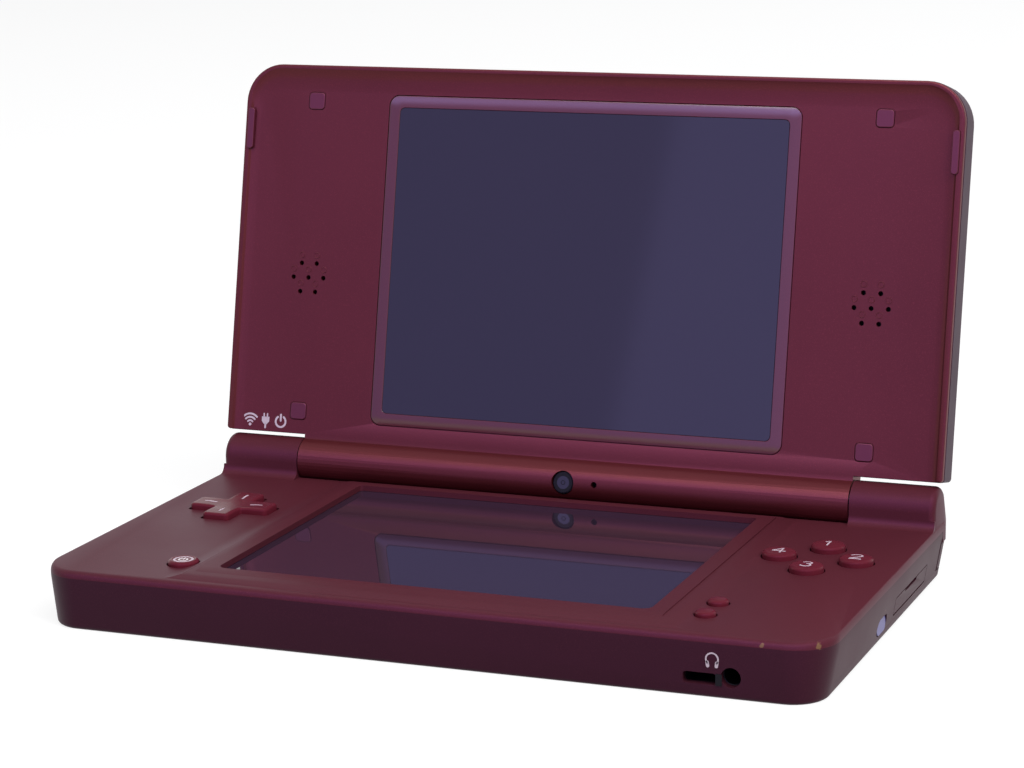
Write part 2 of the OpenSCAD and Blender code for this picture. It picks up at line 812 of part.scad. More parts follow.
module main_board() {
    color(board_green) difference() {
        translate([0, 0, board_z]) linear_extrude(height = board_t) {
            translate([-wing_half + 7.5, -half_d + 8.7]) square([2 * wing_half - 15, body_d - 23.4]);
            translate([-wing_half, -24]) square([2 * wing_half, half_d + 4.3]);
            for (s = [-1, 1]) translate([s * (nub_x - 3) - switch_board_w / 2, 20])
                square([switch_board_w, half_d - 27.2]);
        }
        for (x = [-30, 30], y = [-30, 24]) translate([x, y, board_z - 1]) rod(1, 3);
    }
    // Shielded chips on the underside
    color(steel) for (c = chips) {
        translate([c[0], c[1], board_z - c[4] + 0.01]) plate(c[2], c[3], 0.6, c[4]);
    }
}

module radio_board() {
    color(board_green) translate([radio_x, radio_y, under_board - 1]) plate(radio_w, radio_d, 0.8, 1);
    color(steel) translate([radio_x, radio_y, under_board - 2.2]) plate(radio_w - 10, radio_d - 4, 0.6, 1.21);
}

module battery() {
    color(charcoal) translate([bay_x, bay_y, battery_z]) plate(battery_w, battery_d, 2, battery_t);
}

module game_card_slot() {
    color(steel) difference() {
        card_box(0);
        span([card_x - card_w / 2, inner_y - card_l, card_z], [card_x + card_w / 2, half_d, card_z + card_h]);
    }
    // Row of contacts
    color([0.8, 0.65, 0.3]) for (i = [-7:7]) {
        translate([card_x + i * 1.9 - 0.4, inner_y - card_l - 0.1, card_z - 0.1]) cube([0.8, 3, 0.35]);
    }
}

module memory_card_socket() {
    color(steel) difference() {
        span([memory_end - memory_l, memory_y - memory_w / 2 - 0.6, memory_z - 0.4],
            [memory_end, memory_y + memory_w / 2 + 0.6, under_board]);
        span([memory_end - memory_l + 0.6, memory_y - memory_w / 2, memory_z],
            [half_w, memory_y + memory_w / 2, memory_z + memory_h]);
    }
}

module headphone_jack() {
    color(charcoal) difference() {
        jack_box(0);
        translate([jack_x, -half_d, jack_z]) rotate([-90, 0, 0]) rod(jack_r, jack_l + 1.2);
        along_y(-half_d, wall + 7) translate([slot_x, slot_z]) rounded_rect(slot_w, slot_h, 0.5);
    }
}

module charge_socket() {
    color(charcoal) difference() {
        charge_box(0);
        along_y(inner_y - charge_l, 12) translate([charge_x, charge_z + charge_h / 2])
            rounded_rect(charge_w - 0.3, charge_h - 0.3, 0.6);
    }
    color([0.8, 0.65, 0.3]) span([charge_x - 2.6, inner_y - charge_l - 0.2, charge_z + charge_h / 2 - 0.3],
        [charge_x + 2.6, inner_y - 2, charge_z + charge_h / 2 + 0.3]);
}

// Clear comb that carries the light of three lamps to the knuckle's top
module led_light_guide() {
    window_top = hinge_z + sqrt(pow(knuckle_r, 2) - pow(guide_y - hinge_y, 2)) - 0.15;
    bar_z = hinge_z - 1;
    color([0.85, 0.85, 0.9, 0.6]) {
        span([guide_xs[0] - 0.9, guide_y - 0.5, bar_z], [guide_xs[2] + 0.6, guide_y + 0.5, bar_z + 1.6]);
        for (x = guide_xs) {
            translate([x - 0.7, guide_y - 0.45, bar_z + 1]) cube([1.4, 0.9, window_top - bar_z - 1]);
        }
        span([guide_xs[1] - 0.9, guide_y - 0.5, guide_floor + touch],
            [guide_xs[1] + 0.9, guide_y + 1.6, bar_z + 0.5]);
    }
}

dpad_flange = 2.7;
dpad_flange_t = 0.6;
flange_t = 0.8;
membrane_t = 0.4;
membrane_top = board_top + touch + membrane_t;
pivot_t = 0.45;
pivot_z = membrane_top + 0.1;
dpad_z = pivot_z + pivot_t + 0.1;
button_flange = 0.6;
flange_z = split_z - 0.1 - flange_t;

module dpad() {
    top = deck_z + dpad_h;
    color(gloss_wine) translate([-dpad_x, dpad_y, 0]) difference() {
        union() {
            translate([0, 0, dpad_z]) cross(dpad_span + dpad_flange, dpad_arm + dpad_flange, dpad_flange_t);
            translate([0, 0, dpad_z]) cross(dpad_span, dpad_arm, top - dpad_z - 0.3);
            translate([0, 0, top - 0.4]) cross(dpad_span - 0.6, dpad_arm - 0.6, 0.4);
        }
        // Wide shallow hollow in the middle
        translate([0, 0, top + 59.75]) sphere(r = 60, $fn = 96);
    }
}

module dpad_pivot() {
    color(charcoal) translate([-dpad_x, dpad_y, pivot_z]) rod(1.6, pivot_t);
}

module domes(places, r, h) {
    for (p = places) translate([p[0], p[1], board_top + touch]) rod(r, h);
}

module dpad_membrane() {
    color(rubber_grey) translate([-dpad_x, dpad_y, 0]) {
        translate([0, 0, board_top + touch]) plate(17, 17, 5, membrane_t);
        domes([for (p = face_places) 0.36 * dpad_span * p], 2, membrane_t + 0.1);
    }
}

dome_h = flange_z - press - 0.1 - board_top - touch;
face_membrane_w = 2 * (face_pitch + 3.25);

module face_membrane() {
    color(rubber_grey) translate([face_x, face_y, 0]) {
        translate([0, 0, board_top + touch]) plate(face_membrane_w, face_membrane_w, 6, membrane_t);
        domes([for (p = face_places) face_pitch * p], 2, dome_h);
    }
}

module start_select_membrane() {
    color(rubber_grey) translate([option_x, 0, 0]) {
        translate([1, start_y - option_pitch / 2, board_top + touch])
            plate(5, option_pitch + 3.4, 1.5, membrane_t);
        domes([for (y = option_places) [0.6, y]], 1.2, dome_h);
    }
}

module power_membrane() {
    color(rubber_grey) translate([-power_x, power_y, 0]) {
        translate([-1.2, 0, board_top + touch]) plate(5, 5, 1.5, membrane_t);
        domes([[-1, 0]], 1.2, dome_h);
    }
}

// Round button with a flange under the deck and a slightly domed top
module round_button(d, h) {
    top = deck_z + h;
    color(gloss_wine) {
        translate([0, 0, flange_z]) rod(d / 2 + button_flange, flange_t);
        rotate_extrude($fn = 96) polygon(concat(
            [[0, flange_z], [d / 2, flange_z]],
            [for (a = [0:15:75]) [d / 2 - 0.8 + 0.8 * cos(a), top - 0.75 + 0.62 * sin(a)]],
            [[d / 4, top - 0.06], [0, top]]
        ));
    }
}

module face_button(p) {
    translate([face_x + p[0] * face_pitch, face_y + p[1] * face_pitch, 0]) round_button(face_d, face_h);
}

module button_top() { face_button(face_places[0]); }
module button_right() { face_button(face_places[1]); }
module button_bottom() { face_button(face_places[2]); }
module button_left() { face_button(face_places[3]); }

option_h = 1.05;

module option_button(y) {
    translate([option_x, y, 0]) round_button(option_d, option_h);
}

module start_button() { option_button(option_places[0]); }
module select_button() { option_button(option_places[1]); }

power_h = 1.1;

// Power button with a shallow dish
module power_button() {
    color(gloss_wine) translate([-power_x, power_y, 0]) difference() {
        round_button(power_d, power_h);
        translate([0, 0, deck_z + power_h - 0.22]) rod(power_d / 2 - 0.8, 1);
    }
}

module shoulder_right() {
    color(dark_wine) difference() {
        union() {
            intersection() {
                body_block();
                shoulder_space(0, 0);
                difference() {
                    span([0, 0, 0], [half_w + 1, half_d + 1, split_z]);
                    span([-1, 0, -1], [half_w - shoulder_t - 0.6, half_d - shoulder_t, split_z + 1]);
                }
            }
            // Hub on the pin, and the nub that reaches the switch
            translate([shoulder_pin_x, shoulder_pin_y, shoulder_z]) rod(1.45, shoulder_h);
            span([nub_x - 1.5, half_d - 6.4, shoulder_z + 1.6],
                [nub_x + 1.5, half_d - shoulder_t + 0.5, shoulder_z + 3.6]);
        }
        translate([shoulder_pin_x, shoulder_pin_y, -1]) rod(shoulder_pin_r + running, far);
    }
}

module shoulder_left() {
    mirror([1, 0, 0]) shoulder_right();
}

module shoulder_pins() {
    color(steel) for (s = [-1, 1]) {
        translate([s * shoulder_pin_x, shoulder_pin_y, floor_t - 0.7])
            rod(shoulder_pin_r, channel_z + 0.5 - floor_t);
    }
}

module shoulder_switches() {
    color(charcoal) for (s = [-1, 1]) translate([s * nub_x, half_d - 9.4, under_board - 2.9]) {
        translate([-2.2, -2, 0]) cube([4.4, 4, 2.9]);
        translate([-0.8, 1.9, 0.7]) cube([1.6, 0.6, 1.5]);
    }
}

// Rocker with raised ends, turning on a pin behind its middle
module volume_rocker() {
    reach = volume_l / 2;
    color(dark_wine) translate([0, volume_y, volume_z]) linear_extrude(height = volume_h) difference() {
        union() {
            translate([volume_x + volume_t / 2 + 0.1, 0]) rounded_rect(volume_t - 0.2, volume_l, 0.4);
            for (s = [-1, 1]) {
                translate([volume_x + 0.4, s * (reach - 2.6)]) rounded_rect(0.8, 3.6, 0.35);
            }
            translate([volume_pin_x, 0]) circle(r = volume_pin_r + 0.6, $fn = 48);
        }
        translate([volume_pin_x, 0]) circle(r = volume_pin_r + running, $fn = 48);
    }
}

module volume_switch() {
    color(charcoal) {
        translate([volume_pin_x, volume_y, volume_z - 0.8]) rod(volume_pin_r, under_board - volume_z + 0.8);
        difference() {
            volume_box(0);
            span([volume_pin_x - 1, volume_y - 7, volume_z - 0.2],
                [volume_pin_x + 1.6, volume_y + 7, volume_z + volume_h + 0.15]);
        }
    }
}

module memory_card_door() {
    color(dark_wine) {
        difference() {
            intersection() {
                body_block();
                span([inner_w - 0.35, memory_y - door_w / 2, door_z + 0.15],
                    [half_w + 1, memory_y + door_w / 2, door_z + door_h]);
            }
            // Finger notch in the upper edge
            span([half_w - 1.4, memory_y - 5.1, door_z + door_h - 0.6],
                [half_w + 1, memory_y + 3.7, door_z + door_h + 1]);
        }
        // Rounded lower edge on the hinge line, with its two stub pins
        translate([door_axis_x, memory_y + door_w / 2, door_axis_z]) rotate([90, 0, 0])
            rod(door_pin_r + 0.02, door_w);
        translate([door_axis_x, memory_y + door_w / 2 + 0.8, door_axis_z]) rotate([90, 0, 0])
            rod(door_pin_r, door_w + 1.6);
    }
}

module stylus() {
    tip = 14;
    color([0.35, 0.33, 0.55]) {
        along_x(stylus_end - stylus_l + tip, stylus_l - tip) translate([stylus_y, stylus_z])
            stadium(stylus_w - 1.2, stylus_t - 0.2);
        along_x(stylus_end - stylus_grip_l, stylus_grip_l) translate([stylus_y, stylus_z])
            stadium(stylus_w, stylus_t);
        hull() {
            along_x(stylus_end - stylus_l + tip, thin) translate([stylus_y, stylus_z])
                stadium(stylus_w - 1.2, stylus_t - 0.2);
            translate([stylus_end - stylus_l + 0.8, stylus_y, stylus_z]) sphere(r = 0.8, $fn = 20);
        }
    }
}

// Hinge
module on_axis(x0) {
    translate([x0, hinge_y, hinge_z]) rotate([0, 90, 0]) children();
}

cartridge_x = -knuckle_x - cartridge_l / 2 + 0.1;
shaft_key_l = 6;
barrel_bore_r = hinge_pin_r + 0.08;
web_x = cartridge_x + cartridge_l + 0.3;

module hinge_unit() {
    color(steel) difference() {
        on_axis(cartridge_x) rod(hinge_pin_r, cartridge_l - 0.2);
        on_axis(cartridge_x + 2) rod(hinge_shaft_r + running, cartridge_l);
    }
}

module hinge_tube() {
    color(steel) difference() {
        on_axis(barrel_half - 5) rod(hinge_pin_r, half_w - 3.1 - barrel_half + 5);
        on_axis(barrel_half - 6) rod(hinge_pin_r - 0.6, knuckle_w + 6);
    }
}

cable_turns = 1.8;
cable_t = 0.2;
cable_step = 0.55;
cable_r = 1.1;
cable_l = 46;
cable_dots = 40;

function spiral(r0, i) =
    let (a = 360 * cable_turns * i / cable_dots, r = r0 + cable_step * a / 360) [r * cos(a), r * sin(a)];

// Flat cable, rolled up where it passes through the hollow pin
module display_cable() {
    color([0.7, 0.45, 0.15]) on_axis(barrel_half + knuckle_w - 3 - cable_l) linear_extrude(height = cable_l)
        polygon(concat(
            [for (i = [0:cable_dots]) spiral(cable_r, i)],
            [for (i = [cable_dots:-1:0]) spiral(cable_r + cable_t, i)]
        ));
}

// Lid, drawn closed: x across, y = -u towards the front, z over the hinge axis
module lid_pose() {
    translate([0, hinge_y, hinge_z]) rotate([-lid_open, 0, 0]) children();
}

// Plan of the lid, shrunk by side, top and foot
module lid_area(side, top, foot, r_free, r_foot) {
    mid = lid_reach / 2;
    translate([0, -mid]) outline(lid_half - side, lid_reach - mid - top, mid - foot, r_free, r_foot);
}

module lid_band(w, h, inset) {
    translate([0, 0, w]) linear_extrude(height = h)
        lid_area(inset, inset, lid_foot + min(inset, 0.9), max(corner_r - inset, 1), max(0.8 - inset, 0.3));
}

module dish_slice(w, side, top) {
    translate([0, 0, w]) linear_extrude(height = thin)
        lid_area(side, top, -9, max(corner_r - side, 2), 1);
}

rim_w = -lid_in - lid_rim_h;
// Heights and insets of the rim's inner slope, from the rim down to the face
slope = [
    [-lid_in - lid_rim_h - 0.1, 1.2, 0.85], [-lid_in - 0.5 * lid_rim_h, 1.7, 1.7],
    [-lid_in - 0.2 * lid_rim_h, 2.5, 3.2], [-lid_in, 3.9, 5.5]
];

pad_x = lid_half - 16.85;
pad_places = [for (u = [lid_reach - 7.9, 10.4], s = [1, -1]) [s * pad_x, u]];
pad_w = 3.75;
pad_sink = 0.55;
neck_half = barrel_half - 0.5;
neck_top = 4.4;
neck_u = 7.5;
cover_inside = lid_out - cover_t;
lip_gap = 0.15;
camera_v = 0.5;
camera_r = 2.5;
mic_x = 7.05;
mic_hole_r = 0.65;
lens_floor = -lid_in - 0.1 + lens_t + touch;
face_back = -lid_in + face_t;
upper_display_w = face_back + touch;
tray_w = upper_display_w + display_t + touch;

function grille_places() =
    concat([[0, 0]], [for (a = [0:60:300]) [grille_pitch * cos(a), grille_pitch * sin(a)]]);

module lip_area(inset) {
    lid_area(inset, inset, lid_foot + inset, corner_r - inset, 0.5);
}

module lid_inner_shell() {
    color(wine) lid_pose() difference() {
        union() {
            difference() {
                hull() {
                    lid_band(rim_w + 0.4, -lid_seam - touch - rim_w - 0.4, face_step);
                    lid_band(rim_w + 0.12, thin, face_step + 0.1);
                    lid_band(rim_w, thin, face_step + 0.4);
                }
                for (i = [0:len(slope) - 2]) {
                    sunk = i < len(slope) - 2 ? 0 : thin;
                    hull() {
                        dish_slice(slope[i][0], slope[i][1], slope[i][2]);
                        dish_slice(slope[i + 1][0] - sunk, slope[i + 1][1], slope[i + 1][2]);
                    }
                }
            }
            // Back of the face and the lip inside the cover
            translate([0, 0, -lid_seam - 0.3]) linear_extrude(height = face_back + lid_seam + 0.3)
                lip_area(cover_t + lip_gap);
            translate([0, 0, -lid_seam - 0.3]) linear_extrude(height = lid_seam + 0.9) difference() {
                lip_area(cover_t + lip_gap);
                lip_area(cover_t + 1.05);
            }
            // Barrel with the neck that joins it to the face
            along_x(-barrel_half, 2 * barrel_half) circle(r = barrel_r, $fn = 96);
            span([-barrel_half, -lid_foot - 1, -lid_in], [barrel_half, 0, -lid_seam - 0.1]);
            span([-neck_half, -neck_u, -lid_in + 0.3], [neck_half, 0, neck_top]);
            span([-barrel_half, -lid_foot + 0.1, -lid_in], [barrel_half, 0, neck_top]);
            // Rib round the display frame
            translate([0, -lens_u, face_back - 0.1]) linear_extrude(height = display_t) difference() {
                square([lower_frame_w + 2.4, lower_frame_d + 1.2], center = true);
                square([lower_frame_w + 0.4, lower_frame_d + 0.4], center = true);
            }
        }
        // Seat of the lens and the window behind it
        translate([0, -lens_u, -far + lens_floor]) plate(lens_w + 0.3, lens_h + 0.3, lens_r + 0.15, far);
        translate([0, -lens_u, -5]) plate(window_w - 2, window_h - 2, 0.5, 10);
        // Bore of the barrel on both sides of the keyed web
        along_x(-barrel_half - 1, web_x + barrel_half + 1) circle(r = barrel_bore_r, $fn = 64);
        along_x(web_x + shaft_key_l, 2 * far + far) circle(r = barrel_bore_r, $fn = 64);
        along_x(web_x - 1, shaft_key_l + 2) circle(r = hinge_shaft_r + 0.9, $fn = 6);
        // Inner camera and microphone hole
        translate([0, camera_v, -barrel_r - 1]) rod(camera_r, barrel_r + 1);
        translate([mic_x, camera_v, -barrel_r - 1]) rod(mic_hole_r, barrel_r + 1);
        // Sound holes
        for (s = [-1, 1], p = grille_places()) {
            translate([s * speaker_x + p[0], -speaker_u + p[1], -5]) rod(grille_d / 2, 6);
        }
        // Seats of the bumpers
        for (s = [-1, 1]) translate([s * bumper_x, -bumper_u, -far + bumper_w + bumper_h + touch])
            plate(bumper_t + 0.1, bumper_l + 0.1, 0.75, far);
        // Pads over the screws
        for (p = pad_places) translate([p[0], -p[1], 0]) {
            translate([0, 0, -far - lid_in + pad_sink]) plate(pad_w + 0.2, pad_w + 0.2, 0.9, far);
            translate([0, 0, -lid_in + pad_sink - 0.1]) rod(screw_head_r + 0.1, 0.65);
            translate([0, 0, -5]) rod(screw_r + 0.1, 10);
        }
    }
}

camera_x = lid_half - 11.8;
camera_u = lid_reach - 17.5;

module lid_outer_shell() {
    color(dark_wine) lid_pose() difference() {
        union() {
            difference() {
                hull() {
                    lid_band(-lid_seam, lid_out - lid_edge_r + lid_seam, 0);
                    for (a = [0:22.5:67.5]) {
                        lid_band(lid_out - thin - lid_edge_r * (1 - cos(a)), thin, lid_edge_r * (1 - sin(a)));
                    }
                }
                translate([0, 0, -lid_seam - 1]) linear_extrude(height = cover_inside + lid_seam + 1)
                    lid_area(cover_t, cover_t, lid_foot + cover_t, corner_r - cover_t, 0.6);
            }
            for (p = pad_places) {
                translate([p[0], -p[1], face_back + touch]) rod(2.1, cover_inside - face_back);
            }
            translate([camera_x, -camera_u, cover_inside - 1]) rod(4.4, 1.2);
        }
        // Opening for the neck of the barrel
        span([-neck_half - 0.2, -lid_foot - cover_t - 1, -lid_seam - 1],
            [neck_half + 0.2, 0, neck_top + 0.1]);
        for (p = pad_places) translate([p[0], -p[1], face_back - 1]) rod(screw_r + running, 5);
        // Outer camera
        translate([camera_x, -camera_u, 0]) rod(2.6, far);
        translate([camera_x, -camera_u, lid_out - 0.8]) rod(3.4, far);
    }
}

module upper_lens() {
    color([0.3, 0.28, 0.4, 0.5]) lid_pose() translate([0, -lens_u, -lid_in - 0.1])
        plate(lens_w, lens_h, lens_r, lens_t);
}

module upper_display() {
    color([0.2, 0.2, 0.28]) lid_pose() translate([0, -lens_u, 0]) display(upper_display_w);
}

module upper_display_frame() {
    color(steel) lid_pose() translate([0, -lens_u, 0]) mirror([0, 0, 1]) display_tray(-tray_w - frame_t);
}

speaker_w = 15;
speaker_l = 24;

module speaker(s) {
    color(charcoal) lid_pose() translate([s * speaker_x, -speaker_u, face_back + touch]) {
        difference() {
            plate(speaker_w, speaker_l, 3, 2.8);
            translate([0, 0, -1]) plate(12, 12, 2, 1.5);
        }
        translate([0, 0, 2.5]) rod(5, 0.7);
    }
}

module speaker_left() { speaker(-1); }
module speaker_right() { speaker(1); }

module inner_camera() {
    color(charcoal) lid_pose() translate([0, camera_v, 0]) difference() {
        translate([0, 0, -barrel_r + 0.75]) rod(camera_r - 0.15, barrel_r + 0.1);
        translate([0, 0, -barrel_r]) rod(0.9, 1.6);
    }
}

module camera_window() {
    color([0.1, 0.1, 0.14, 0.5]) lid_pose() translate([0, camera_v, -barrel_r + 0.3])
        rod(camera_r - 0.4, 0.4);
}

module microphone() {
    color(steel) lid_pose() translate([mic_x, camera_v, -2.2]) rod(1.5, 1.5);
}

module outer_camera() {
    color(charcoal) lid_pose() translate([camera_x, -camera_u, 0]) {
        translate([0, 0, lid_out - 3.4]) rod(2.5, 2.5);
        translate([-4, -4, lid_out - 4.6]) cube([8, 8, 1.2]);
    }
}

module outer_camera_window() {
    color([0.1, 0.1, 0.14, 0.5]) lid_pose() translate([camera_x, -camera_u, lid_out - 0.75]) rod(3.3, 0.6);
}

module rubber_pads() {
    color([0.3, 0.1, 0.18]) lid_pose() for (p = pad_places) {
        translate([p[0], -p[1], -lid_in - 0.2]) plate(pad_w, pad_w, 0.8, pad_sink + 0.15);
    }
}

module lid_screws() {
    color(steel) lid_pose() for (p = pad_places) {
        translate([p[0], -p[1], 0]) screw(-lid_in + pad_sink + 0.05, 3.6);
    }
}

bumper_l = 9;
bumper_t = 1.5;
bumper_u = lid_reach - 14.4;
bumper_x = lid_half - 1.65;
bumper_w = rim_w - 0.5;
bumper_h = 1.05;

module lid_bumpers() {
    color([0.3, 0.1, 0.18]) lid_pose() for (s = [-1, 1]) {
        translate([s * bumper_x, -bumper_u, bumper_w]) plate(bumper_t, bumper_l, 0.7, bumper_h);
    }
}

module hinge_shaft() {
    color(steel) lid_pose() {
        along_x(cartridge_x + 2.3, web_x - cartridge_x - 2) circle(r = hinge_shaft_r, $fn = 64);
        along_x(web_x + 0.2, shaft_key_l - 0.4) circle(r = hinge_shaft_r + 0.8, $fn = 6);
    }
}

lower_shell();
deck_shell();
battery_cover();
battery_cover_screws();
case_screws();
touch_panel();
lower_display();
lower_display_frame();
main_board();
radio_board();
battery();
game_card_slot();
memory_card_socket();
headphone_jack();
charge_socket();
led_light_guide();
dpad();
dpad_pivot();
dpad_membrane();
button_top();
button_right();
button_bottom();
button_left();
face_membrane();
start_button();
select_button();
start_select_membrane();
power_button();
power_membrane();
shoulder_left();
shoulder_right();
shoulder_pins();
shoulder_switches();
volume_rocker();
volume_switch();
memory_card_door();
stylus();
hinge_unit();
hinge_shaft();
hinge_tube();
display_cable();
lid_inner_shell();
lid_outer_shell();
upper_lens();
upper_display();
upper_display_frame();
speaker_left();
speaker_right();
inner_camera();
camera_window();
microphone();
outer_camera();
outer_camera_window();
rubber_pads();
lid_screws();
lid_bumpers();
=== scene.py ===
import json
import math

import bmesh
import bpy
from mathutils import Matrix, Vector


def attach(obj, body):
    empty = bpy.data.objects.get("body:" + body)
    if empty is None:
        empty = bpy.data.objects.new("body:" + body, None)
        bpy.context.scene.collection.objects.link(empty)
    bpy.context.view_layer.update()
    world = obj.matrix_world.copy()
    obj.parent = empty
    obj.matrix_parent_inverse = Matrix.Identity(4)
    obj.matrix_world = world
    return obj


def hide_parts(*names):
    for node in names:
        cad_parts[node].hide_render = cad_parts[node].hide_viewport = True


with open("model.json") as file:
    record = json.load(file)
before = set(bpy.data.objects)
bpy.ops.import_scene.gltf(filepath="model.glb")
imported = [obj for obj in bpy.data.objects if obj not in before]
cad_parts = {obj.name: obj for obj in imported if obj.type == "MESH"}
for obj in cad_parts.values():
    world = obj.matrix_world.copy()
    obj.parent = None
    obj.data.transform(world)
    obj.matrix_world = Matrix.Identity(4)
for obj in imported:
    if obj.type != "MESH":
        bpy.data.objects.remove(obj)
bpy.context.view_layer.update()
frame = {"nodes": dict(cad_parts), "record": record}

MM = 0.001
LID_ANGLE = math.radians(102.6)
HINGE = Vector((0, 39.3, 15.2)) * MM
LID_FACE = -1.7
SHELL_FRONT = -45.7


# Camera at the photograph's viewpoint
def make_camera():
    target = Vector((0.0030002, 0, 0.0446003))
    azimuth, elevation, roll = 0.384407, 0.218267, -0.0193336
    distance = 0.577077
    back = Vector((math.sin(azimuth) * math.cos(elevation),
                   -math.cos(azimuth) * math.cos(elevation), math.sin(elevation)))
    right = Vector((0, 0, 1)).cross(back).normalized()
    up = back.cross(right)
    x = math.cos(roll) * right + math.sin(roll) * up
    y = math.cos(roll) * up - math.sin(roll) * right
    data = bpy.data.cameras.new("camera")
    data.lens = 102.598
    data.sensor_width = 36
    data.sensor_fit = "HORIZONTAL"
    data.clip_start, data.clip_end = 0.01, 20
    camera = bpy.data.objects.new("camera", data)
    turn = Matrix((x, y, back)).transposed().to_4x4()
    camera.matrix_world = Matrix.Translation(target + back * distance) @ turn
    bpy.context.scene.collection.objects.link(camera)
    bpy.context.scene.camera = camera


make_camera()


# Places on the lid: x across, u from the hinge towards the free edge, w out of its back
def lid_point(x, u, w):
    c, s = math.cos(LID_ANGLE), math.sin(LID_ANGLE)
    return HINGE + Vector((x, -u * c + w * s, u * s + w * c)) * MM


# Turns a drawing in X and Y, facing +Z, onto the lid's inner face
def on_lid(x, u, w):
    c, s = math.cos(LID_ANGLE), math.sin(LID_ANGLE)
    along = Vector((0, -c, s))
    out = Vector((0, -s, -c))
    turn = Matrix((Vector((1, 0, 0)), along, out)).transposed().to_4x4()
    return Matrix.Translation(lid_point(x, u, w)) @ turn


def on_deck(x, y, z):
    return Matrix.Translation(Vector((x, y, z)) * MM)


def on_front(x, z):
    turn = Matrix(((1, 0, 0), (0, 0, -1), (0, 1, 0))).to_4x4()
    return Matrix.Translation(Vector((x, SHELL_FRONT, z)) * MM) @ turn


# Materials
def tone(red, green, blue):
    def straight(v):
        v = v / 255
        return v / 12.92 if v <= 0.04045 else ((v + 0.055) / 1.055) ** 2.4
    return (straight(red), straight(green), straight(blue), 1)


class Finish:
    """A Principled material whose patterns lie in the object's own space."""

    def __init__(self, name, colour, roughness, metallic=0.0, specular=0.5):
        self.material = bpy.data.materials.new(name)
        self.material.use_nodes = True
        self.tree = self.material.node_tree
        self.shader = self.tree.nodes["Principled BSDF"]
        self.set("Base Color", colour)
        self.set("Roughness", roughness)
        self.set("Metallic", metallic)
        self.set("Specular IOR Level", specular)
        self.place = self.node("ShaderNodeTexCoord")

    def node(self, kind, **settings):
        made = self.tree.nodes.new(kind)
        for key, value in settings.items():
            setattr(made, key, value)
        return made

    def link(self, output, entry):
        self.tree.links.new(output, entry)

    def set(self, socket, value):
        self.shader.inputs[socket].default_value = value

    def noise(self, scale, detail=2.0, roughness=0.5, stretch=None):
        noise = self.node("ShaderNodeTexNoise")
        noise.inputs["Scale"].default_value = scale
        noise.inputs["Detail"].default_value = detail
        noise.inputs["Roughness"].default_value = roughness
        start = self.place.outputs["Object"]
        if stretch:
            mapping = self.node("ShaderNodeMapping")
            mapping.inputs["Scale"].default_value = stretch
            self.link(start, mapping.inputs["Vector"])
            start = mapping.outputs["Vector"]
        self.link(start, noise.inputs["Vector"])
        return noise.outputs["Fac"]

    def ramp(self, source, stops):
        ramp = self.node("ShaderNodeValToRGB")
        while len(ramp.color_ramp.elements) < len(stops):
            ramp.color_ramp.elements.new(0.5)
        for element, (place, colour) in zip(ramp.color_ramp.elements, stops):
            element.position = place
            element.color = colour
        self.link(source, ramp.inputs["Fac"])
        return ramp.outputs["Color"]

    def spread(self, source, low, high, start=0.3, end=0.7):
        reach = self.node("ShaderNodeMapRange")
        reach.inputs["From Min"].default_value = start
        reach.inputs["From Max"].default_value = end
        reach.inputs["To Min"].default_value = low
        reach.inputs["To Max"].default_value = high
        self.link(source, reach.inputs["Value"])
        return reach.outputs["Result"]

    def blend(self, factor, first, second):
        mix = self.node("ShaderNodeMix", data_type="RGBA")
        self.link(factor, mix.inputs[0])
        for entry, value in ((mix.inputs[6], first), (mix.inputs[7], second)):
            if isinstance(value, tuple):
                entry.default_value = value
            else:
                self.link(value, entry)
        return mix.outputs[2]

    def bump(self, height, strength, distance):
        bump = self.node("ShaderNodeBump")
        bump.inputs["Strength"].default_value = strength
        bump.inputs["Distance"].default_value = distance
        self.link(height, bump.inputs["Height"])
        self.link(bump.outputs["Normal"], self.shader.inputs["Normal"])


def moulded(name, colour, roughness, specular=0.5, fleck=0.12, grain=0.00002, metal=0.0,
            sheen_tint=(1, 1, 1, 1)):
    """Painted or moulded plastic: slow shading, fine metallic flecks and a slight orange peel."""
    finish = Finish(name, colour, roughness, metal, specular)
    finish.set("Specular Tint", sheen_tint)
    dark = tuple(c * (1 - fleck) for c in colour[:3]) + (1,)
    light = tuple(min(1, c * (1 + 2.2 * fleck)) for c in colour[:3]) + (1,)
    slow = finish.ramp(finish.noise(18, 3), [(0.3, dark), (0.7, colour)])
    flecks = finish.spread(finish.noise(5200, 1), 0, 1, 0.56, 0.74)
    finish.link(finish.blend(flecks, slow, light), finish.shader.inputs["Base Color"])
    finish.link(finish.spread(finish.noise(60, 4), roughness * 0.95, roughness * 1.06),
                finish.shader.inputs["Roughness"])
    finish.bump(finish.noise(2600, 2), 0.5, grain)
    return finish


def dark_pane(name, colour, roughness, specular, low, high, scale=12):
    """A dark glossy pane whose colour changes very slowly across it."""
    finish = Finish(name, colour, roughness, specular=specular)
    finish.link(finish.ramp(finish.noise(scale, 2), [(0.3, low), (0.7, high)]),
                finish.shader.inputs["Base Color"])
    return finish


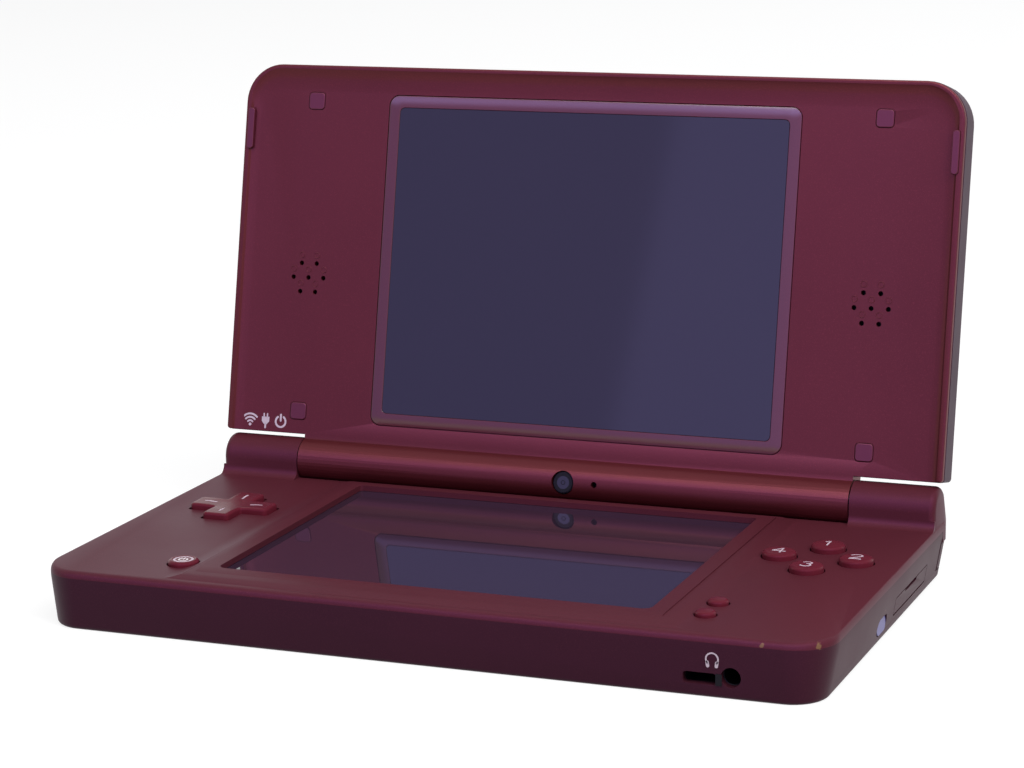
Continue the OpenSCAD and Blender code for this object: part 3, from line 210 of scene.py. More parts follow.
def chipped(finish, places, colour):
    """Small worn spots at chosen places, given as point and radius in millimetres."""
    base = finish.shader.inputs["Base Color"].links[0].from_socket
    rough = finish.noise(1400, 3, 0.6)
    edge = finish.spread(rough, -0.45, 0.45, 0.25, 0.75)
    total = None
    for point, radius in places:
        away = finish.node("ShaderNodeVectorMath", operation="DISTANCE")
        finish.link(finish.place.outputs["Object"], away.inputs[0])
        away.inputs[1].default_value = Vector(point) * MM
        share = finish.spread(away.outputs["Value"], 1, 0, 0.4 * radius * MM, 1.3 * radius * MM)
        if total:
            top = finish.node("ShaderNodeMath", operation="MAXIMUM")
            finish.link(total, top.inputs[0])
            finish.link(share, top.inputs[1])
            total = top.outputs[0]
        else:
            total = share
    worn = finish.node("ShaderNodeMath", operation="ADD")
    finish.link(total, worn.inputs[0])
    finish.link(edge, worn.inputs[1])
    mask = finish.spread(worn.outputs[0], 0, 1, 0.62, 0.8)
    finish.link(finish.blend(mask, base, colour), finish.shader.inputs["Base Color"])


VIOLET_SHEEN = (0.26, 0.22, 0.52, 1)
# deck_wine and the lid's wine are one plastic in two copies: their base colours differ as painted
# light and shade, for the light falling differently on deck and lid
deck_wine = moulded("deck_wine", tone(84, 35, 44), 0.44, metal=0.12, specular=0.22,
                    sheen_tint=VIOLET_SHEEN)
lid_wine_painted_light = moulded("lid_wine_painted_light", tone(90, 33, 39), 0.36, metal=0.42, specular=0.4,
                   sheen_tint=(0.85, 0.55, 0.56, 1))
# shell_dark is the same wine plastic with its base colour darkened: painted shade for the lower
# shell's walls, which face away from the overhead light
shell_dark = moulded("shell_dark", tone(62, 26, 36), 0.5, specular=0.25,
                     sheen_tint=(0.26, 0.25, 0.5, 1))
cover_violet = moulded("cover_violet", tone(64, 42, 56), 0.5, specular=0.2, fleck=0.05,
                       sheen_tint=(0.17, 0.13, 0.3, 1))
gloss_wine = moulded("gloss_wine", tone(98, 31, 45), 0.26, specular=0.14, fleck=0.05,
                     grain=0.000003, sheen_tint=(0.24, 0.19, 0.28, 1))
stylus_violet = moulded("stylus_violet", tone(92, 82, 150), 0.3, specular=0.3, fleck=0.05,
                        grain=0.000008, sheen_tint=(0.4, 0.38, 0.8, 1))
pad_wine = moulded("pad_wine", tone(92, 35, 48), 0.34, metal=0.3, specular=0.5, fleck=0.05,
                   grain=0.000005, sheen_tint=(0.8, 0.6, 0.75, 1))
rubber = moulded("rubber", tone(60, 56, 60), 0.8, fleck=0.1, grain=0.00003)
black_plastic = moulded("black_plastic", tone(22, 20, 24), 0.5, specular=0.12, fleck=0.1)
clear_plastic = moulded("clear_plastic", tone(44, 24, 34), 0.25, specular=0.3, fleck=0.04,
                        grain=0.000004)
lens_border = moulded("lens_border", tone(92, 38, 50), 0.16, specular=0.5, fleck=0.05,
                      grain=0.000002)
smoked = dark_pane("smoked", tone(34, 30, 44), 0.05, 0.5, tone(33, 29, 43), tone(36, 31, 46))
touch_glass = dark_pane("touch_glass", tone(48, 38, 54), 0.03, 0.9, tone(46, 36, 52),
                        tone(50, 40, 56))
screen = dark_pane("screen", tone(30, 28, 40), 0.3, 0.2, tone(28, 26, 38), tone(32, 30, 43), 9)
steel = Finish("steel", tone(176, 176, 180), 0.3, metallic=1.0)
steel.link(steel.spread(steel.noise(300, 3, stretch=(1, 8, 1)), 0.22, 0.42),
           steel.shader.inputs["Roughness"])
steel.bump(steel.noise(900, 2, stretch=(1, 12, 1)), 0.3, 0.00002)
board = moulded("board", tone(38, 84, 58), 0.5, fleck=0.2)
cable_amber = moulded("cable_amber", tone(190, 120, 40), 0.4, fleck=0.08)
mark_pale = moulded("mark_pale", tone(205, 186, 200), 0.45, fleck=0.05, grain=0.000004)
mark_white = moulded("mark_white", tone(236, 226, 232), 0.4, fleck=0.04, grain=0.000004)
# Which finish each CAD node is shown with where nothing replaces it
by_slot = {
    "deck_wine": deck_wine, "shell_dark": shell_dark, "cover_violet": cover_violet,
    "gloss_wine": gloss_wine, "stylus_violet": stylus_violet, "pad_wine": pad_wine,
    "rubber": rubber, "black_plastic": black_plastic, "clear_plastic": clear_plastic,
    "glass": smoked, "display": screen, "steel": steel, "board": board, "cable_amber": cable_amber,
}
shown_with = {"lid_inner_shell": lid_wine_painted_light, "touch_panel": touch_glass,
              "microphone": black_plastic}
slot_of = {row["node"]: row["material_slot"] for row in frame["record"]["subparts"]}
body_of = {}
for body_name, members in frame["record"]["behaviour"]["bodies"].items():
    for member in members:
        body_of[member] = body_name
for node_name, cad in frame["nodes"].items():
    cad.data.materials.clear()
    finish = shown_with.get(node_name, by_slot[slot_of[node_name]])
    cad.data.materials.append(finish.material)


# Pieces
def piece(name, mesh, finishes, body, smooth=30):
    made = bpy.data.objects.new(name, mesh)
    bpy.context.scene.collection.objects.link(made)
    mesh.materials.clear()
    for finish in finishes:
        mesh.materials.append(finish.material)
    mesh.shade_smooth()
    mesh.set_sharp_from_angle(angle=math.radians(smooth))
    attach(made, body)
    return made


MERGED_WITHIN = 0.000002
FLAT_WITHIN = math.radians(0.6)
SHARP_FROM = math.radians(32)


def dressed(node, bevel, segments):
    """A merged copy of a moulded part with its edges broken, shown in place of the node."""
    loose = bmesh.new()
    loose.from_mesh(frame["nodes"][node].data)
    bmesh.ops.remove_doubles(loose, verts=loose.verts, dist=MERGED_WITHIN)
    bmesh.ops.dissolve_limit(loose, angle_limit=FLAT_WITHIN, verts=loose.verts,
                             edges=loose.edges)
    mesh = bpy.data.meshes.new(node + "_dressed")
    loose.to_mesh(mesh)
    loose.free()
    slot = slot_of[node]
    finish = shown_with.get(node, by_slot[slot])
    made = piece(node + "_dressed", mesh, [finish], body_of[node])
    edge = made.modifiers.new("edge", "BEVEL")
    edge.width = bevel * MM
    edge.segments = segments
    edge.limit_method = "ANGLE"
    edge.angle_limit = SHARP_FROM
    edge.use_clamp_overlap = True
    edge.harden_normals = False
    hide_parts(node)


CHIP = tone(118, 86, 62)
chipped(shell_dark, [((68.0, -45.2, 10.5), 0.5), ((78.0, -42.6, 10.6), 0.7),
                     ((59.1, -44.8, 2.0), 0.4), ((80.2, -3.2, 6.1), 0.5)], CHIP)
chipped(deck_wine, [((68.4, -45.5, 10.9), 0.6), ((78.2, -43.0, 11.0), 0.8),
                    ((79.9, 20.5, 11.3), 0.4)], CHIP)

# Width of the broken edge and its number of steps, for each moulded part
EDGES = {
    "lower_shell": (0.12, 2), "deck_shell": (0.15, 2), "lid_inner_shell": (0.15, 2),
    "lid_outer_shell": (0.12, 2), "battery_cover": (0.2, 2), "shoulder_left": (0.15, 2),
    "shoulder_right": (0.15, 2), "volume_rocker": (0.15, 2), "memory_card_door": (0.1, 2),
    "stylus": (0.15, 2), "rubber_pads": (0.2, 3), "lid_bumpers": (0.15, 2),
    "headphone_jack": (0.1, 2), "inner_camera": (0.1, 2), "led_light_guide": (0.05, 2),
    "touch_panel": (0.1, 2), "case_screws": (0.06, 2), "battery_cover_screws": (0.06, 2),
}
for name, (bevel, segments) in EDGES.items():
    dressed(name, bevel, segments)


# Controls
def solid_of_rings(name, rings):
    """A closed mesh from rings of as many points each, from the bottom to the top."""
    points = [Vector(p) * MM for ring in rings for p in ring]
    count = len(rings[0])
    faces = [list(range(count))[::-1], list(range((len(rings) - 1) * count, len(rings) * count))]
    for level in range(len(rings) - 1):
        for i in range(count):
            j = (i + 1) % count
            low, high = level * count, (level + 1) * count
            faces.append([low + i, low + j, high + j, high + i])
    mesh = bpy.data.meshes.new(name)
    mesh.from_pydata(points, [], faces)
    return mesh


def lathed(name, profile, segments=64):
    """A closed mesh turned about Z from radius and height pairs, first and last on the axis."""
    rings = []
    for radius, height in profile[1:-1]:
        rings.append([(radius * math.cos(math.tau * i / segments),
                       radius * math.sin(math.tau * i / segments), height)
                      for i in range(segments)])
    return solid_of_rings(name, rings)


HOLLOW_DEPTH = 0.23


def button_profile(radius, flange, low, top, dome, hollow=None):
    """Half section of a button: flange under the deck, straight side and rounded top."""
    edge = 0.8
    profile = [(0, low), (radius + flange, low), (radius + flange, low + 0.8), (radius, low + 0.8)]
    for step in range(9):
        angle = math.radians(90 * step / 8)
        profile.append((radius - edge + edge * math.cos(angle),
                        top - 0.75 + (0.75 - dome) * math.sin(angle)))
    inner = radius - edge
    if hollow:
        profile += [(hollow, top - dome), (hollow - 0.12, top - dome - 0.04),
                    (hollow - 0.22, top - 0.22)]
        inner = hollow - 0.3
        profile += [(inner * k / 4, top - HOLLOW_DEPTH) for k in (4, 3, 2, 1)]
    else:
        profile += [(inner * k / 6, top - dome * (k / 6) ** 2) for k in (5, 4, 3, 2, 1)]
    profile.append((0, top))
    return profile


def control(name, mesh, place, finish=gloss_wine):
    mesh.transform(place)
    made = piece(name + "_cap", mesh, [finish], body_of[name], 40)
    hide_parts(name)


FACE_BUTTONS = {"button_top": (63.5, 15.15), "button_right": (71.25, 7.4),
                "button_bottom": (63.5, -0.35), "button_left": (55.75, 7.4)}
OPTION_BUTTONS = {"start_button": (54.1, -26.4), "select_button": (54.1, -34.0)}
FACE_R, OPTION_R, POWER_R, FLANGE_LOW = 3.4, 2.0, 3.1, 9.5
FACE_TOP, OPTION_TOP, POWER_TOP = 13.2, 12.85, 12.9
DOME = 0.13
for name, (x, y) in FACE_BUTTONS.items():
    control(name, lathed(name, button_profile(FACE_R, 0.6, FLANGE_LOW, FACE_TOP, DOME)),
            on_deck(x, y, 0))
for name, (x, y) in OPTION_BUTTONS.items():
    control(name, lathed(name, button_profile(OPTION_R, 0.6, FLANGE_LOW, OPTION_TOP, 0.1)),
            on_deck(x, y, 0))
POWER = (-54.0, -33.4)
control("power_button", lathed("power_button", button_profile(
    POWER_R, 0.6, FLANGE_LOW, POWER_TOP, 0.13, hollow=2.3)), on_deck(*POWER, 0))

DPAD = (-63.75, 7.4)
DPAD_TOP = 13.05


def dpad_height(r):
    """Height of the pad's hollowed top at a distance from its middle."""
    return DPAD_TOP - max(0, 0.25 - r * r / 120)


def cross_ring(half, arm, outer, inner, height):
    """Outline of a plus shape with rounded corners and points along its arms, anticlockwise."""
    ring = []
    for quarter in range(4):
        turn = math.radians(90 * quarter)
        c, s = math.cos(turn), math.sin(turn)
        corner = []
        for x, y, first in ((half - outer, outer - arm, -90), (half - outer, arm - outer, 0)):
            for step in range(7):
                a = math.radians(first + 15 * step)
                corner.append((x + outer * math.cos(a), y + outer * math.sin(a)))
        for step in range(1, 5):
            corner.append((half - outer + (arm + inner - half + outer) * step / 5, arm))
        for step in range(6):
            a = math.radians(270 - 18 * step)
            corner.append((arm + inner + inner * math.cos(a), arm + inner + inner * math.sin(a)))
        for step in range(1, 5):
            corner.append((arm, arm + inner + (half - outer - arm - inner) * step / 5))
        ring += [(x * c - y * s, x * s + y * c, height(math.hypot(x, y))) for x, y in corner]
    return ring


def dpad_mesh():
    half, arm, round_r, corner, fillet = 8.9, 3.0, 0.6, 0.95, 0.5
    rings = [cross_ring(half + 1.35, arm + 1.35, 1.2, 0.3, lambda r: 9.0),
             cross_ring(half + 1.35, arm + 1.35, 1.2, 0.3, lambda r: 9.6),
             cross_ring(half, arm, corner, fillet, lambda r: 9.6)]
    for step in range(7):
        a = math.radians(15 * step)
        inset = round_r * (1 - math.cos(a))
        drop = round_r * (1 - math.sin(a))
        rings.append(cross_ring(half - inset, arm - inset, corner - inset, fillet + inset,
                                lambda r, drop=drop: dpad_height(r) - drop))
    for inset in (1.1, 1.6, 2.1, 2.6):
        rings.append(cross_ring(half - inset, arm - inset, 0.34, fillet + inset,
                                dpad_height))
    return solid_of_rings("dpad", rings)


control("dpad", dpad_mesh(), on_deck(*DPAD, 0))


# Printed marks, as thin solids that follow the surface they lie on
def arc(x, y, radius, start, end, steps=24):
    return [(x + radius * math.cos(math.radians(start + (end - start) * i / steps)),
             y + radius * math.sin(math.radians(start + (end - start) * i / steps)))
            for i in range(steps + 1)]


def evenly(path, longest=0.25):
    """The same path with points added, so that it can follow a curved surface."""
    even = [path[0]]
    for (x0, y0), (x1, y1) in zip(path, path[1:]):
        parts = max(1, math.ceil(math.hypot(x1 - x0, y1 - y0) / longest))
        even += [(x0 + (x1 - x0) * k / parts, y0 + (y1 - y0) * k / parts)
                 for k in range(1, parts + 1)]
    return even


def add_stroke(drawing, path, width, closed=False, round_ends=True):
    """Adds a line of even width along a path of points to a flat drawing."""
    path = evenly(path)
    half = width / 2
    count = len(path)
    pairs = []
    for i, (x, y) in enumerate(path):
        before = path[i - 1] if i or closed else path[i]
        after = path[(i + 1) % count] if i < count - 1 or closed else path[i]
        along = Vector((after[0] - before[0], after[1] - before[1])).normalized()
        side = Vector((-along.y, along.x)) * half
        pairs.append((drawing.verts.new((x + side.x, y + side.y, 0)),
                      drawing.verts.new((x - side.x, y - side.y, 0))))
    for i in range(count if closed else count - 1):
        a, b = pairs[i], pairs[(i + 1) % count]
        drawing.faces.new((a[0], a[1], b[1], b[0]))
    if closed or not round_ends:
        return
    for end, near, sign in ((0, 1, 1), (count - 1, count - 2, -1)):
        out = Vector((path[end][0] - path[near][0], path[end][1] - path[near][1])).normalized()
        side = Vector((-out.y, out.x))
        first, last = pairs[end] if sign < 0 else pairs[end][::-1]
        fan = [first]
        for step in range(1, 6):
            a = math.radians(90 - 30 * step)
            fan.append(drawing.verts.new((
                path[end][0] + half * (math.cos(a) * out.x + math.sin(a) * side.x),
                path[end][1] + half * (math.cos(a) * out.y + math.sin(a) * side.y), 0)))
        drawing.faces.new((fan + [last])[::-1])


def add_shape(drawing, outline):
    drawing.faces.new([drawing.verts.new((x, y, 0)) for x, y in outline])


MARK_DEPTH, MARK_RISE = 0.05, 0.025


def mark(name, drawing, height, place, finish, body):
    """Turns a flat drawing into a thin solid lying on a surface, given as a height function."""
    bmesh.ops.triangulate(drawing, faces=drawing.faces)
    sheet = drawing.faces[:]
    raised = bmesh.ops.extrude_face_region(drawing, geom=sheet)["geom"]
    tops = [v for v in raised if isinstance(v, bmesh.types.BMVert)]
    for v in drawing.verts:
        v.co.z = height(v.co.x, v.co.y) - MARK_DEPTH
    for v in tops:
        v.co.z += MARK_DEPTH + MARK_RISE
    bmesh.ops.recalc_face_normals(drawing, faces=drawing.faces)
    mesh = bpy.data.meshes.new(name)
    drawing.to_mesh(mesh)
    drawing.free()
    mesh.transform(place @ Matrix.Scale(MM, 4))
    piece(name, mesh, [finish], body, 20)


numerals = {
    1: [[(-0.42, 0.72), (0.1, 1.25), (0.1, -1.3)]],
    2: [arc(0, 0.55, 0.75, 165, -38, 16) + [(-0.75, -1.25), (0.8, -1.25)]],
    3: [arc(0, 0.62, 0.64, 150, -85, 14) + arc(-0.02, -0.62, 0.7, 85, -150, 14)],
    4: [[(0.35, -1.3), (0.35, 1.25), (-0.85, -0.5), (0.9, -0.5)]],
}
for number, name in enumerate(FACE_BUTTONS, 1):
    drawing = bmesh.new()
    for path in numerals[number]:
        add_stroke(drawing, [(1.45 * x, 1.12 * y) for x, y in path], 0.36)
    x, y = FACE_BUTTONS[name]
    mark("%s_numeral" % name, drawing,
         lambda x, y: FACE_TOP - DOME * (x * x + y * y) / (FACE_R - 0.8) ** 2,
         on_deck(x, y, 0), mark_pale, body_of[name])


def power_symbol(drawing, radius, width, x=0.0, y=0.0):
    add_stroke(drawing, arc(x, y, radius, 125, 415, 28), width)
    add_stroke(drawing, [(x, y + 0.15 * radius), (x, y + 1.25 * radius)], width)


drawing = bmesh.new()
power_symbol(drawing, 0.85, 0.34, 0, -0.1)
mark("power_symbol", drawing, lambda x, y: POWER_TOP - HOLLOW_DEPTH, on_deck(*POWER, 0),
     mark_white, "power_button")
drawing = bmesh.new()
add_stroke(drawing, arc(0, 0, 1.8, 0, 354, 59), 0.44, closed=True)
mark("power_ring", drawing, lambda x, y: POWER_TOP - HOLLOW_DEPTH, on_deck(*POWER, 0),
     mark_pale, "power_button")

drawing = bmesh.new()
for turn in range(4):
    c, s = round(math.cos(math.pi / 2 * turn)), round(math.sin(math.pi / 2 * turn))
    add_stroke(drawing, [(r * c, r * s) for r in (3.9, 4.8, 5.7, 6.7)], 0.42, round_ends=False)
mark("dpad_lines", drawing, lambda x, y: dpad_height(math.hypot(x, y)), on_deck(*DPAD, 0),
     mark_pale, "dpad")

# Wireless, charge and power symbols at the lid's lower left
drawing = bmesh.new()
for radius in (0.8, 1.55, 2.3):
    add_stroke(drawing, arc(-75.55, 6.75, radius, 45, 135, 10), 0.4)
add_shape(drawing, arc(-75.55, 6.7, 0.33, 0, 345, 12))
power_symbol(drawing, 1.2, 0.44, -68.1, 7.75)
add_shape(drawing, [(-72.7, 8.6), (-72.7, 7.6), (-72.15, 6.95), (-71.45, 6.95), (-70.9, 7.6),
                    (-70.9, 8.6)])
for x in (-72.2, -71.4):
    add_stroke(drawing, [(x, 8.5), (x, 9.25)], 0.34)
add_stroke(drawing, [(-71.8, 7.0), (-71.8, 6.2)], 0.4)
mark("lid_symbols", drawing, lambda x, y: -LID_FACE, on_lid(0, 0, 0), mark_pale, "lid")

# Headphone symbol, and the dark bridge between the slot and the hole under it
drawing = bmesh.new()
add_stroke(drawing, arc(0, 0, 1.15, -40, 220, 24), 0.3)
for side in (-1, 1):
    add_stroke(drawing, [(side * 0.92, -0.62), (side * 0.82, -1.3)], 0.62)
mark("jack_symbol", drawing, lambda x, y: -MARK_RISE, on_front(59.1, 7.4), mark_pale, "base")
drawing = bmesh.new()
add_shape(drawing, [(-0.6, -1.1), (0.62, -1.1), (0.62, 1.1), (-0.6, 1.1)])
mark("jack_bridge", drawing, lambda x, y: -0.02, on_front(60.33, 3.6), black_plastic, "base")

# Inner camera: dark glass with a black ring and a small iris
CAMERA_U, CAMERA_TOP, CAMERA_R = -0.5, 4.22, 2.1
glass_disc = lathed("camera_glass", [(0, CAMERA_TOP - 0.4), (CAMERA_R, CAMERA_TOP - 0.4),
                                     (CAMERA_R, CAMERA_TOP - 0.06), (CAMERA_R - 0.06, CAMERA_TOP),
                                     (0.4, CAMERA_TOP), (0, CAMERA_TOP)])
glass_disc.transform(on_lid(0, CAMERA_U, 0))
glass_disc = piece("camera_glass", glass_disc, [smoked], "lid", 30)
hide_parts("camera_window")
drawing = bmesh.new()
add_stroke(drawing, arc(0, 0, 1.72, 0, 354, 59), 0.7, closed=True)
add_stroke(drawing, arc(0, 0, 0.42, 0, 340, 17), 0.14, closed=True)
mark("camera_rings", drawing, lambda x, y: CAMERA_TOP, on_lid(0, CAMERA_U, 0), black_plastic,
     "lid")


# Screen lens of the lid: printed border round a smoked pane
def rounded(width, depth, radius, steps=8):
    ring = []
    for x, y, first in ((1, 1, 0), (-1, 1, 90), (-1, -1, 180), (1, -1, 270)):
        for i in range(steps + 1):
            a = math.radians(first + 90 * i / steps)
            ring.append((x * (width / 2 - radius) + radius * math.cos(a),
                         y * (depth / 2 - radius) + radius * math.sin(a)))
    return ring


def plate_ring(name, outer, inner, low, high, soften):
    """A flat frame between two rounded outlines, with its upper edges softened."""
    w, d, r = outer
    v, e, q = inner
    sections = [(rounded(w, d, r), low), (rounded(w, d, r), high - soften),
                (rounded(w - 0.6 * soften, d - 0.6 * soften, r - 0.3 * soften),
                 high - 0.3 * soften),
                (rounded(w - 2 * soften, d - 2 * soften, r - soften), high),
                (rounded(v + 0.16, e + 0.16, q + 0.08), high), (rounded(v, e, q), high - 0.08),
                (rounded(v, e, q), low)]
    points = [Vector((x, y, z)) * MM for ring, z in sections for x, y in ring]
    count = len(sections[0][0])
    faces = []
    for level in range(len(sections)):
        low_i, high_i = level * count, (level + 1) % len(sections) * count
        for i in range(count):
            j = (i + 1) % count
            faces.append([low_i + i, low_i + j, high_i + j, high_i + i])
    mesh = bpy.data.meshes.new(name)
    mesh.from_pydata(points, [], faces)
    return mesh


LENS = (92.8, 71.7, 2.2)
LENS_WINDOW = (87.8, 66.5, 1.1)
LENS_LOW, LENS_HIGH, LENS_U = 0.9, 1.8, 44.45
border = plate_ring("lens_border", LENS, LENS_WINDOW, LENS_LOW, LENS_HIGH, 0.16)
border.transform(on_lid(0, LENS_U, 0))
piece("lens_border", border, [lens_border], "lid", 40)
LENS_GAP = 0.04
pane_w, pane_d, pane_r = LENS_WINDOW[0] - LENS_GAP, LENS_WINDOW[1] - LENS_GAP, LENS_WINDOW[2]
rings = [[(x, y, LENS_LOW) for x, y in rounded(pane_w, pane_d, pane_r)],
         [(x, y, LENS_HIGH - 0.1) for x, y in rounded(pane_w, pane_d, pane_r)],
         [(x, y, LENS_HIGH - 0.02) for x, y in rounded(pane_w - 0.12, pane_d - 0.12, pane_r)]]
pane = solid_of_rings("lens_window", rings)
pane.transform(on_lid(0, LENS_U, 0))
pane = piece("lens_window", pane, [smoked], "lid", 30)
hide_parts("upper_lens")


# Rims round the sound holes, made by a node tree with the hole pattern's own sizes
def node_tree(name, inputs):
    tree = bpy.data.node_groups.new(name, "GeometryNodeTree")
    tree.interface.new_socket("Geometry", in_out="OUTPUT", socket_type="NodeSocketGeometry")
    entries = {}
    for label, kind, value in inputs:
        socket = tree.interface.new_socket(label, in_out="INPUT", socket_type=kind)
        entries[label] = (socket.identifier, value)
    return tree, entries, tree.nodes.new("NodeGroupInput"), tree.nodes.new("NodeGroupOutput")


def grown(name, tree, entries):
    """Runs a node tree on an empty mesh and returns its result as a plain mesh."""
    holder = bpy.data.objects.new(name, bpy.data.meshes.new(name))
    bpy.context.scene.collection.objects.link(holder)
    modifier = holder.modifiers.new("nodes", "NODES")
    modifier.node_group = tree
    for identifier, value in entries.values():
        modifier[identifier] = value
    depsgraph = bpy.context.evaluated_depsgraph_get()
    mesh = bpy.data.meshes.new_from_object(holder.evaluated_get(depsgraph))
    bpy.data.objects.remove(holder)
    return mesh


def grille_rims():
    tree, entries, start, end = node_tree("grille_rims", [
        ("Pitch", "NodeSocketFloat", 3.6 * MM), ("Hole Radius", "NodeSocketFloat", 0.62 * MM),
        ("Rim Radius", "NodeSocketFloat", 0.09 * MM)])
    add, link = tree.nodes.new, tree.links.new
    ring = add("GeometryNodeMeshCircle")
    ring.inputs["Vertices"].default_value = 6
    middle = add("GeometryNodePoints")
    places = add("GeometryNodeJoinGeometry")
    hole = add("GeometryNodeCurvePrimitiveCircle")
    hole.inputs["Resolution"].default_value = 24
    rim = add("GeometryNodeCurvePrimitiveCircle")
    rim.inputs["Resolution"].default_value = 8
    tube = add("GeometryNodeCurveToMesh")
    copies = add("GeometryNodeInstanceOnPoints")
    real = add("GeometryNodeRealizeInstances")
    paint = add("GeometryNodeSetMaterial")
    paint.inputs["Material"].default_value = lid_wine_painted_light.material
    link(start.outputs["Pitch"], ring.inputs["Radius"])
    link(ring.outputs["Mesh"], places.inputs[0])
    link(middle.outputs[0], places.inputs[0])
    link(start.outputs["Hole Radius"], hole.inputs["Radius"])
    link(start.outputs["Rim Radius"], rim.inputs["Radius"])
    link(hole.outputs["Curve"], tube.inputs["Curve"])
    link(rim.outputs["Curve"], tube.inputs["Profile Curve"])
    link(places.outputs[0], copies.inputs["Points"])
    link(tube.outputs["Mesh"], copies.inputs["Instance"])
    link(copies.outputs["Instances"], real.inputs["Geometry"])
    link(real.outputs["Geometry"], paint.inputs["Geometry"])
    link(paint.outputs["Geometry"], end.inputs["Geometry"])
    return grown("grille_rims", tree, entries)


def merged(name, meshes):
    loose = bmesh.new()
    for mesh in meshes:
        loose.from_mesh(mesh)
    bmesh.ops.recalc_face_normals(loose, faces=loose.faces)
    whole = bpy.data.meshes.new(name)
    loose.to_mesh(whole)
    loose.free()
    return whole


SPEAKER_X, SPEAKER_U = 63.5, 41.6
rims = []
for side in (-1, 1):
    rim_mesh = grille_rims()
    rim_mesh.transform(on_lid(side * SPEAKER_X, SPEAKER_U, LID_FACE))
    rims.append(rim_mesh)
piece("grille_rims", merged("grille_rims", rims), [lid_wine_painted_light], "lid", 60)


# Floor, light and surroundings
def either(nodes, links, first, second):
    """One where at least one of two ray tests is one."""
    test = nodes.new("ShaderNodeMath")
    test.operation = "MAXIMUM"
    links.new(first, test.inputs[0])
    links.new(second, test.inputs[1])
    return test.outputs[0]


def between(nodes, links, source, start, end, low=0.0, high=1.0):
    reach = nodes.new("ShaderNodeMapRange")
    for label, value in (("From Min", start), ("From Max", end), ("To Min", low),
                         ("To Max", high)):
        reach.inputs[label].default_value = value
    links.new(source, reach.inputs["Value"])
    return reach.outputs["Result"]


def stage_sheet(name, corners):
    """A flat piece of the stage, with a fresh material of its own."""
    sheet = bpy.data.meshes.new(name)
    sheet.from_pydata(corners, [], [(0, 1, 2, 3)])
    made = bpy.data.objects.new(name, sheet)
    bpy.context.scene.collection.objects.link(made)
    material = bpy.data.materials.new(name)
    material.use_nodes = True
    sheet.materials.append(material)
    return made, material.node_tree.nodes, material.node_tree.links


FLOOR_HALF, FLOOR_GREY, FLOOR_GLOW = 3.0, (0.3, 0.3, 0.3, 1), 0.78


def make_floor():
    """A pale floor: soft for lamps, and as bright as the background to the camera and in gloss."""
    half = FLOOR_HALF
    plane, nodes, links = stage_sheet(
        "floor", [(-half, -half, 0), (half, -half, 0), (half, half, 0), (-half, half, 0)])
    shader = nodes["Principled BSDF"]
    shader.inputs["Base Color"].default_value = FLOOR_GREY
    shader.inputs["Roughness"].default_value = 0.95
    shader.inputs["Specular IOR Level"].default_value = 0.0
    rays = nodes.new("ShaderNodeLightPath")
    seen = either(nodes, links, rays.outputs["Is Camera Ray"], rays.outputs["Is Glossy Ray"])
    level = nodes.new("ShaderNodeMath")
    level.operation = "MULTIPLY"
    level.inputs[1].default_value = FLOOR_GLOW
    links.new(seen, level.inputs[0])
    shader.inputs["Emission Color"].default_value = (1, 1, 1, 1)
    links.new(level.outputs[0], shader.inputs["Emission Strength"])


# The card stands at CARD_Y and turns bright across the line x - 0.062 z = CARD_EDGE
CARD_Y, CARD_HALF, CARD_TOP = -1.6, 2.2, 1.6
CARD_SLOPE, CARD_EDGE, CARD_SOFT = (1.0, 0.0, -0.062), -0.601, 0.008
CARD_DIM, CARD_BRIGHT = (0.68, 0.6, 1.35, 1), (0.95, 0.85, 1.9, 1)
CARD_RISE, CARD_STRENGTH = (0.8, 1.15), (1.0, 3.4)


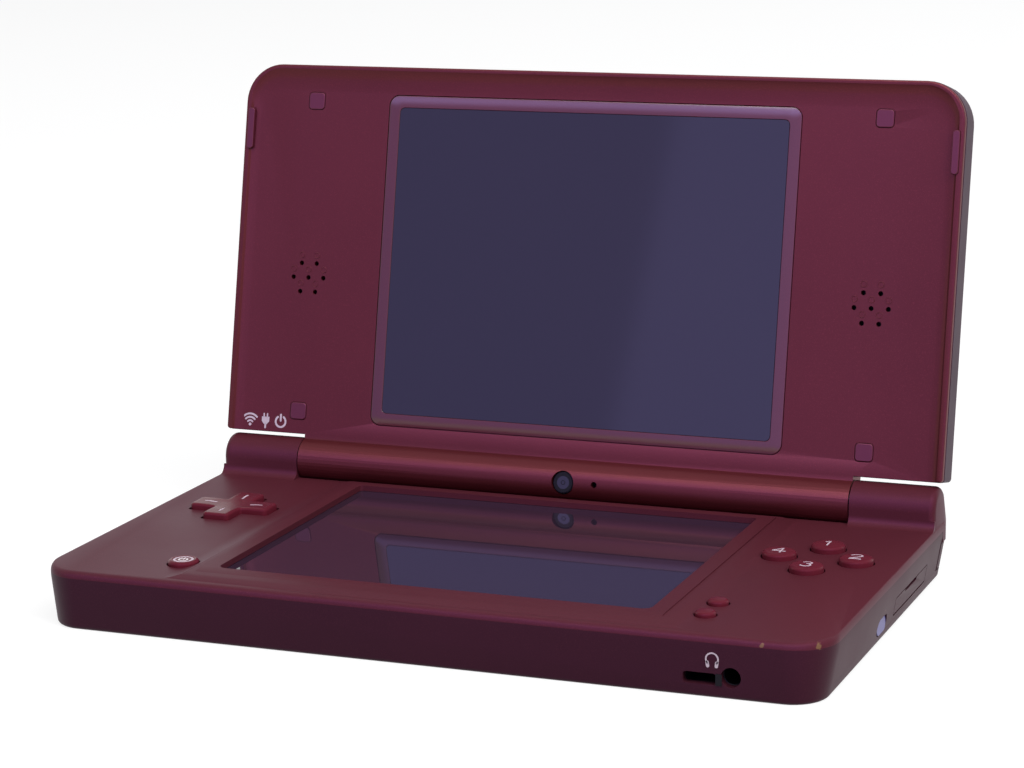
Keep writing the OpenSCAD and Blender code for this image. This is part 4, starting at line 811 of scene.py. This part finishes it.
def make_card():
    """A violet-grey card before the object, seen in its gloss alone, with a brighter side."""
    made, nodes, links = stage_sheet(
        "card", [(-CARD_HALF, CARD_Y, 0), (CARD_HALF, CARD_Y, 0), (CARD_HALF, CARD_Y, CARD_TOP),
                 (-CARD_HALF, CARD_Y, CARD_TOP)])
    made.visible_camera = False
    made.visible_diffuse = False
    made.visible_transmission = False
    made.visible_volume_scatter = False
    made.visible_shadow = False
    nodes.clear()
    place = nodes.new("ShaderNodeTexCoord")
    across = nodes.new("ShaderNodeVectorMath")
    across.operation = "DOT_PRODUCT"
    across.inputs[1].default_value = CARD_SLOPE
    links.new(place.outputs["Object"], across.inputs[0])
    step = between(nodes, links, across.outputs["Value"], CARD_EDGE - CARD_SOFT,
                   CARD_EDGE + CARD_SOFT)
    mix = nodes.new("ShaderNodeMix")
    mix.data_type = "RGBA"
    mix.inputs[6].default_value = CARD_DIM
    mix.inputs[7].default_value = CARD_BRIGHT
    links.new(step, mix.inputs[0])
    height = nodes.new("ShaderNodeSeparateXYZ")
    links.new(place.outputs["Object"], height.inputs[0])
    glow = nodes.new("ShaderNodeEmission")
    links.new(mix.outputs[2], glow.inputs["Color"])
    links.new(between(nodes, links, height.outputs["Z"], *CARD_RISE, *CARD_STRENGTH),
              glow.inputs["Strength"])
    end = nodes.new("ShaderNodeOutputMaterial")
    links.new(glow.outputs[0], end.inputs["Surface"])


LAMP_TARGET = Vector((0, 0, 0.05))


def lamp(name, place, width, depth, power, gloss=False):
    data = bpy.data.lights.new(name, "AREA")
    data.shape = "RECTANGLE"
    data.size = width
    data.size_y = depth
    data.energy = power
    made = bpy.data.objects.new(name, data)
    made.location = place
    made.rotation_euler = (LAMP_TARGET - Vector(place)).to_track_quat("-Z", "Y").to_euler()
    made.visible_glossy = gloss
    bpy.context.scene.collection.objects.link(made)


def make_world():
    """Soft light on the object, and a white background to the camera, in gloss and in glass."""
    world = bpy.data.worlds.new("surroundings")
    bpy.context.scene.world = world
    world.use_nodes = True
    nodes, links = world.node_tree.nodes, world.node_tree.links
    nodes.clear()
    rays = nodes.new("ShaderNodeLightPath")
    seen = either(nodes, links, rays.outputs["Is Camera Ray"], rays.outputs["Is Glossy Ray"])
    seen = either(nodes, links, seen, rays.outputs["Is Transmission Ray"])
    mix = nodes.new("ShaderNodeMixShader")
    links.new(seen, mix.inputs["Fac"])
    for place, colour, strength in ((1, (0.96, 0.97, 1, 1), 0.3), (2, (1, 1, 1, 1), 1.0)):
        glow = nodes.new("ShaderNodeBackground")
        glow.inputs["Color"].default_value = colour
        glow.inputs["Strength"].default_value = strength
        links.new(glow.outputs[0], mix.inputs[place])
    end = nodes.new("ShaderNodeOutputWorld")
    links.new(mix.outputs[0], end.inputs["Surface"])


make_floor()
make_card()
lamp("key", (0.4, -0.75, 1.5), 2.4, 0.6, 23, gloss=True)
lamp("side", (0.85, -0.4, 0.6), 0.4, 0.4, 4)
lamp("back", (0.2, 1.3, 1.2), 1.2, 1.2, 5)
make_world()
bpy.context.scene.view_settings.view_transform = "Standard"
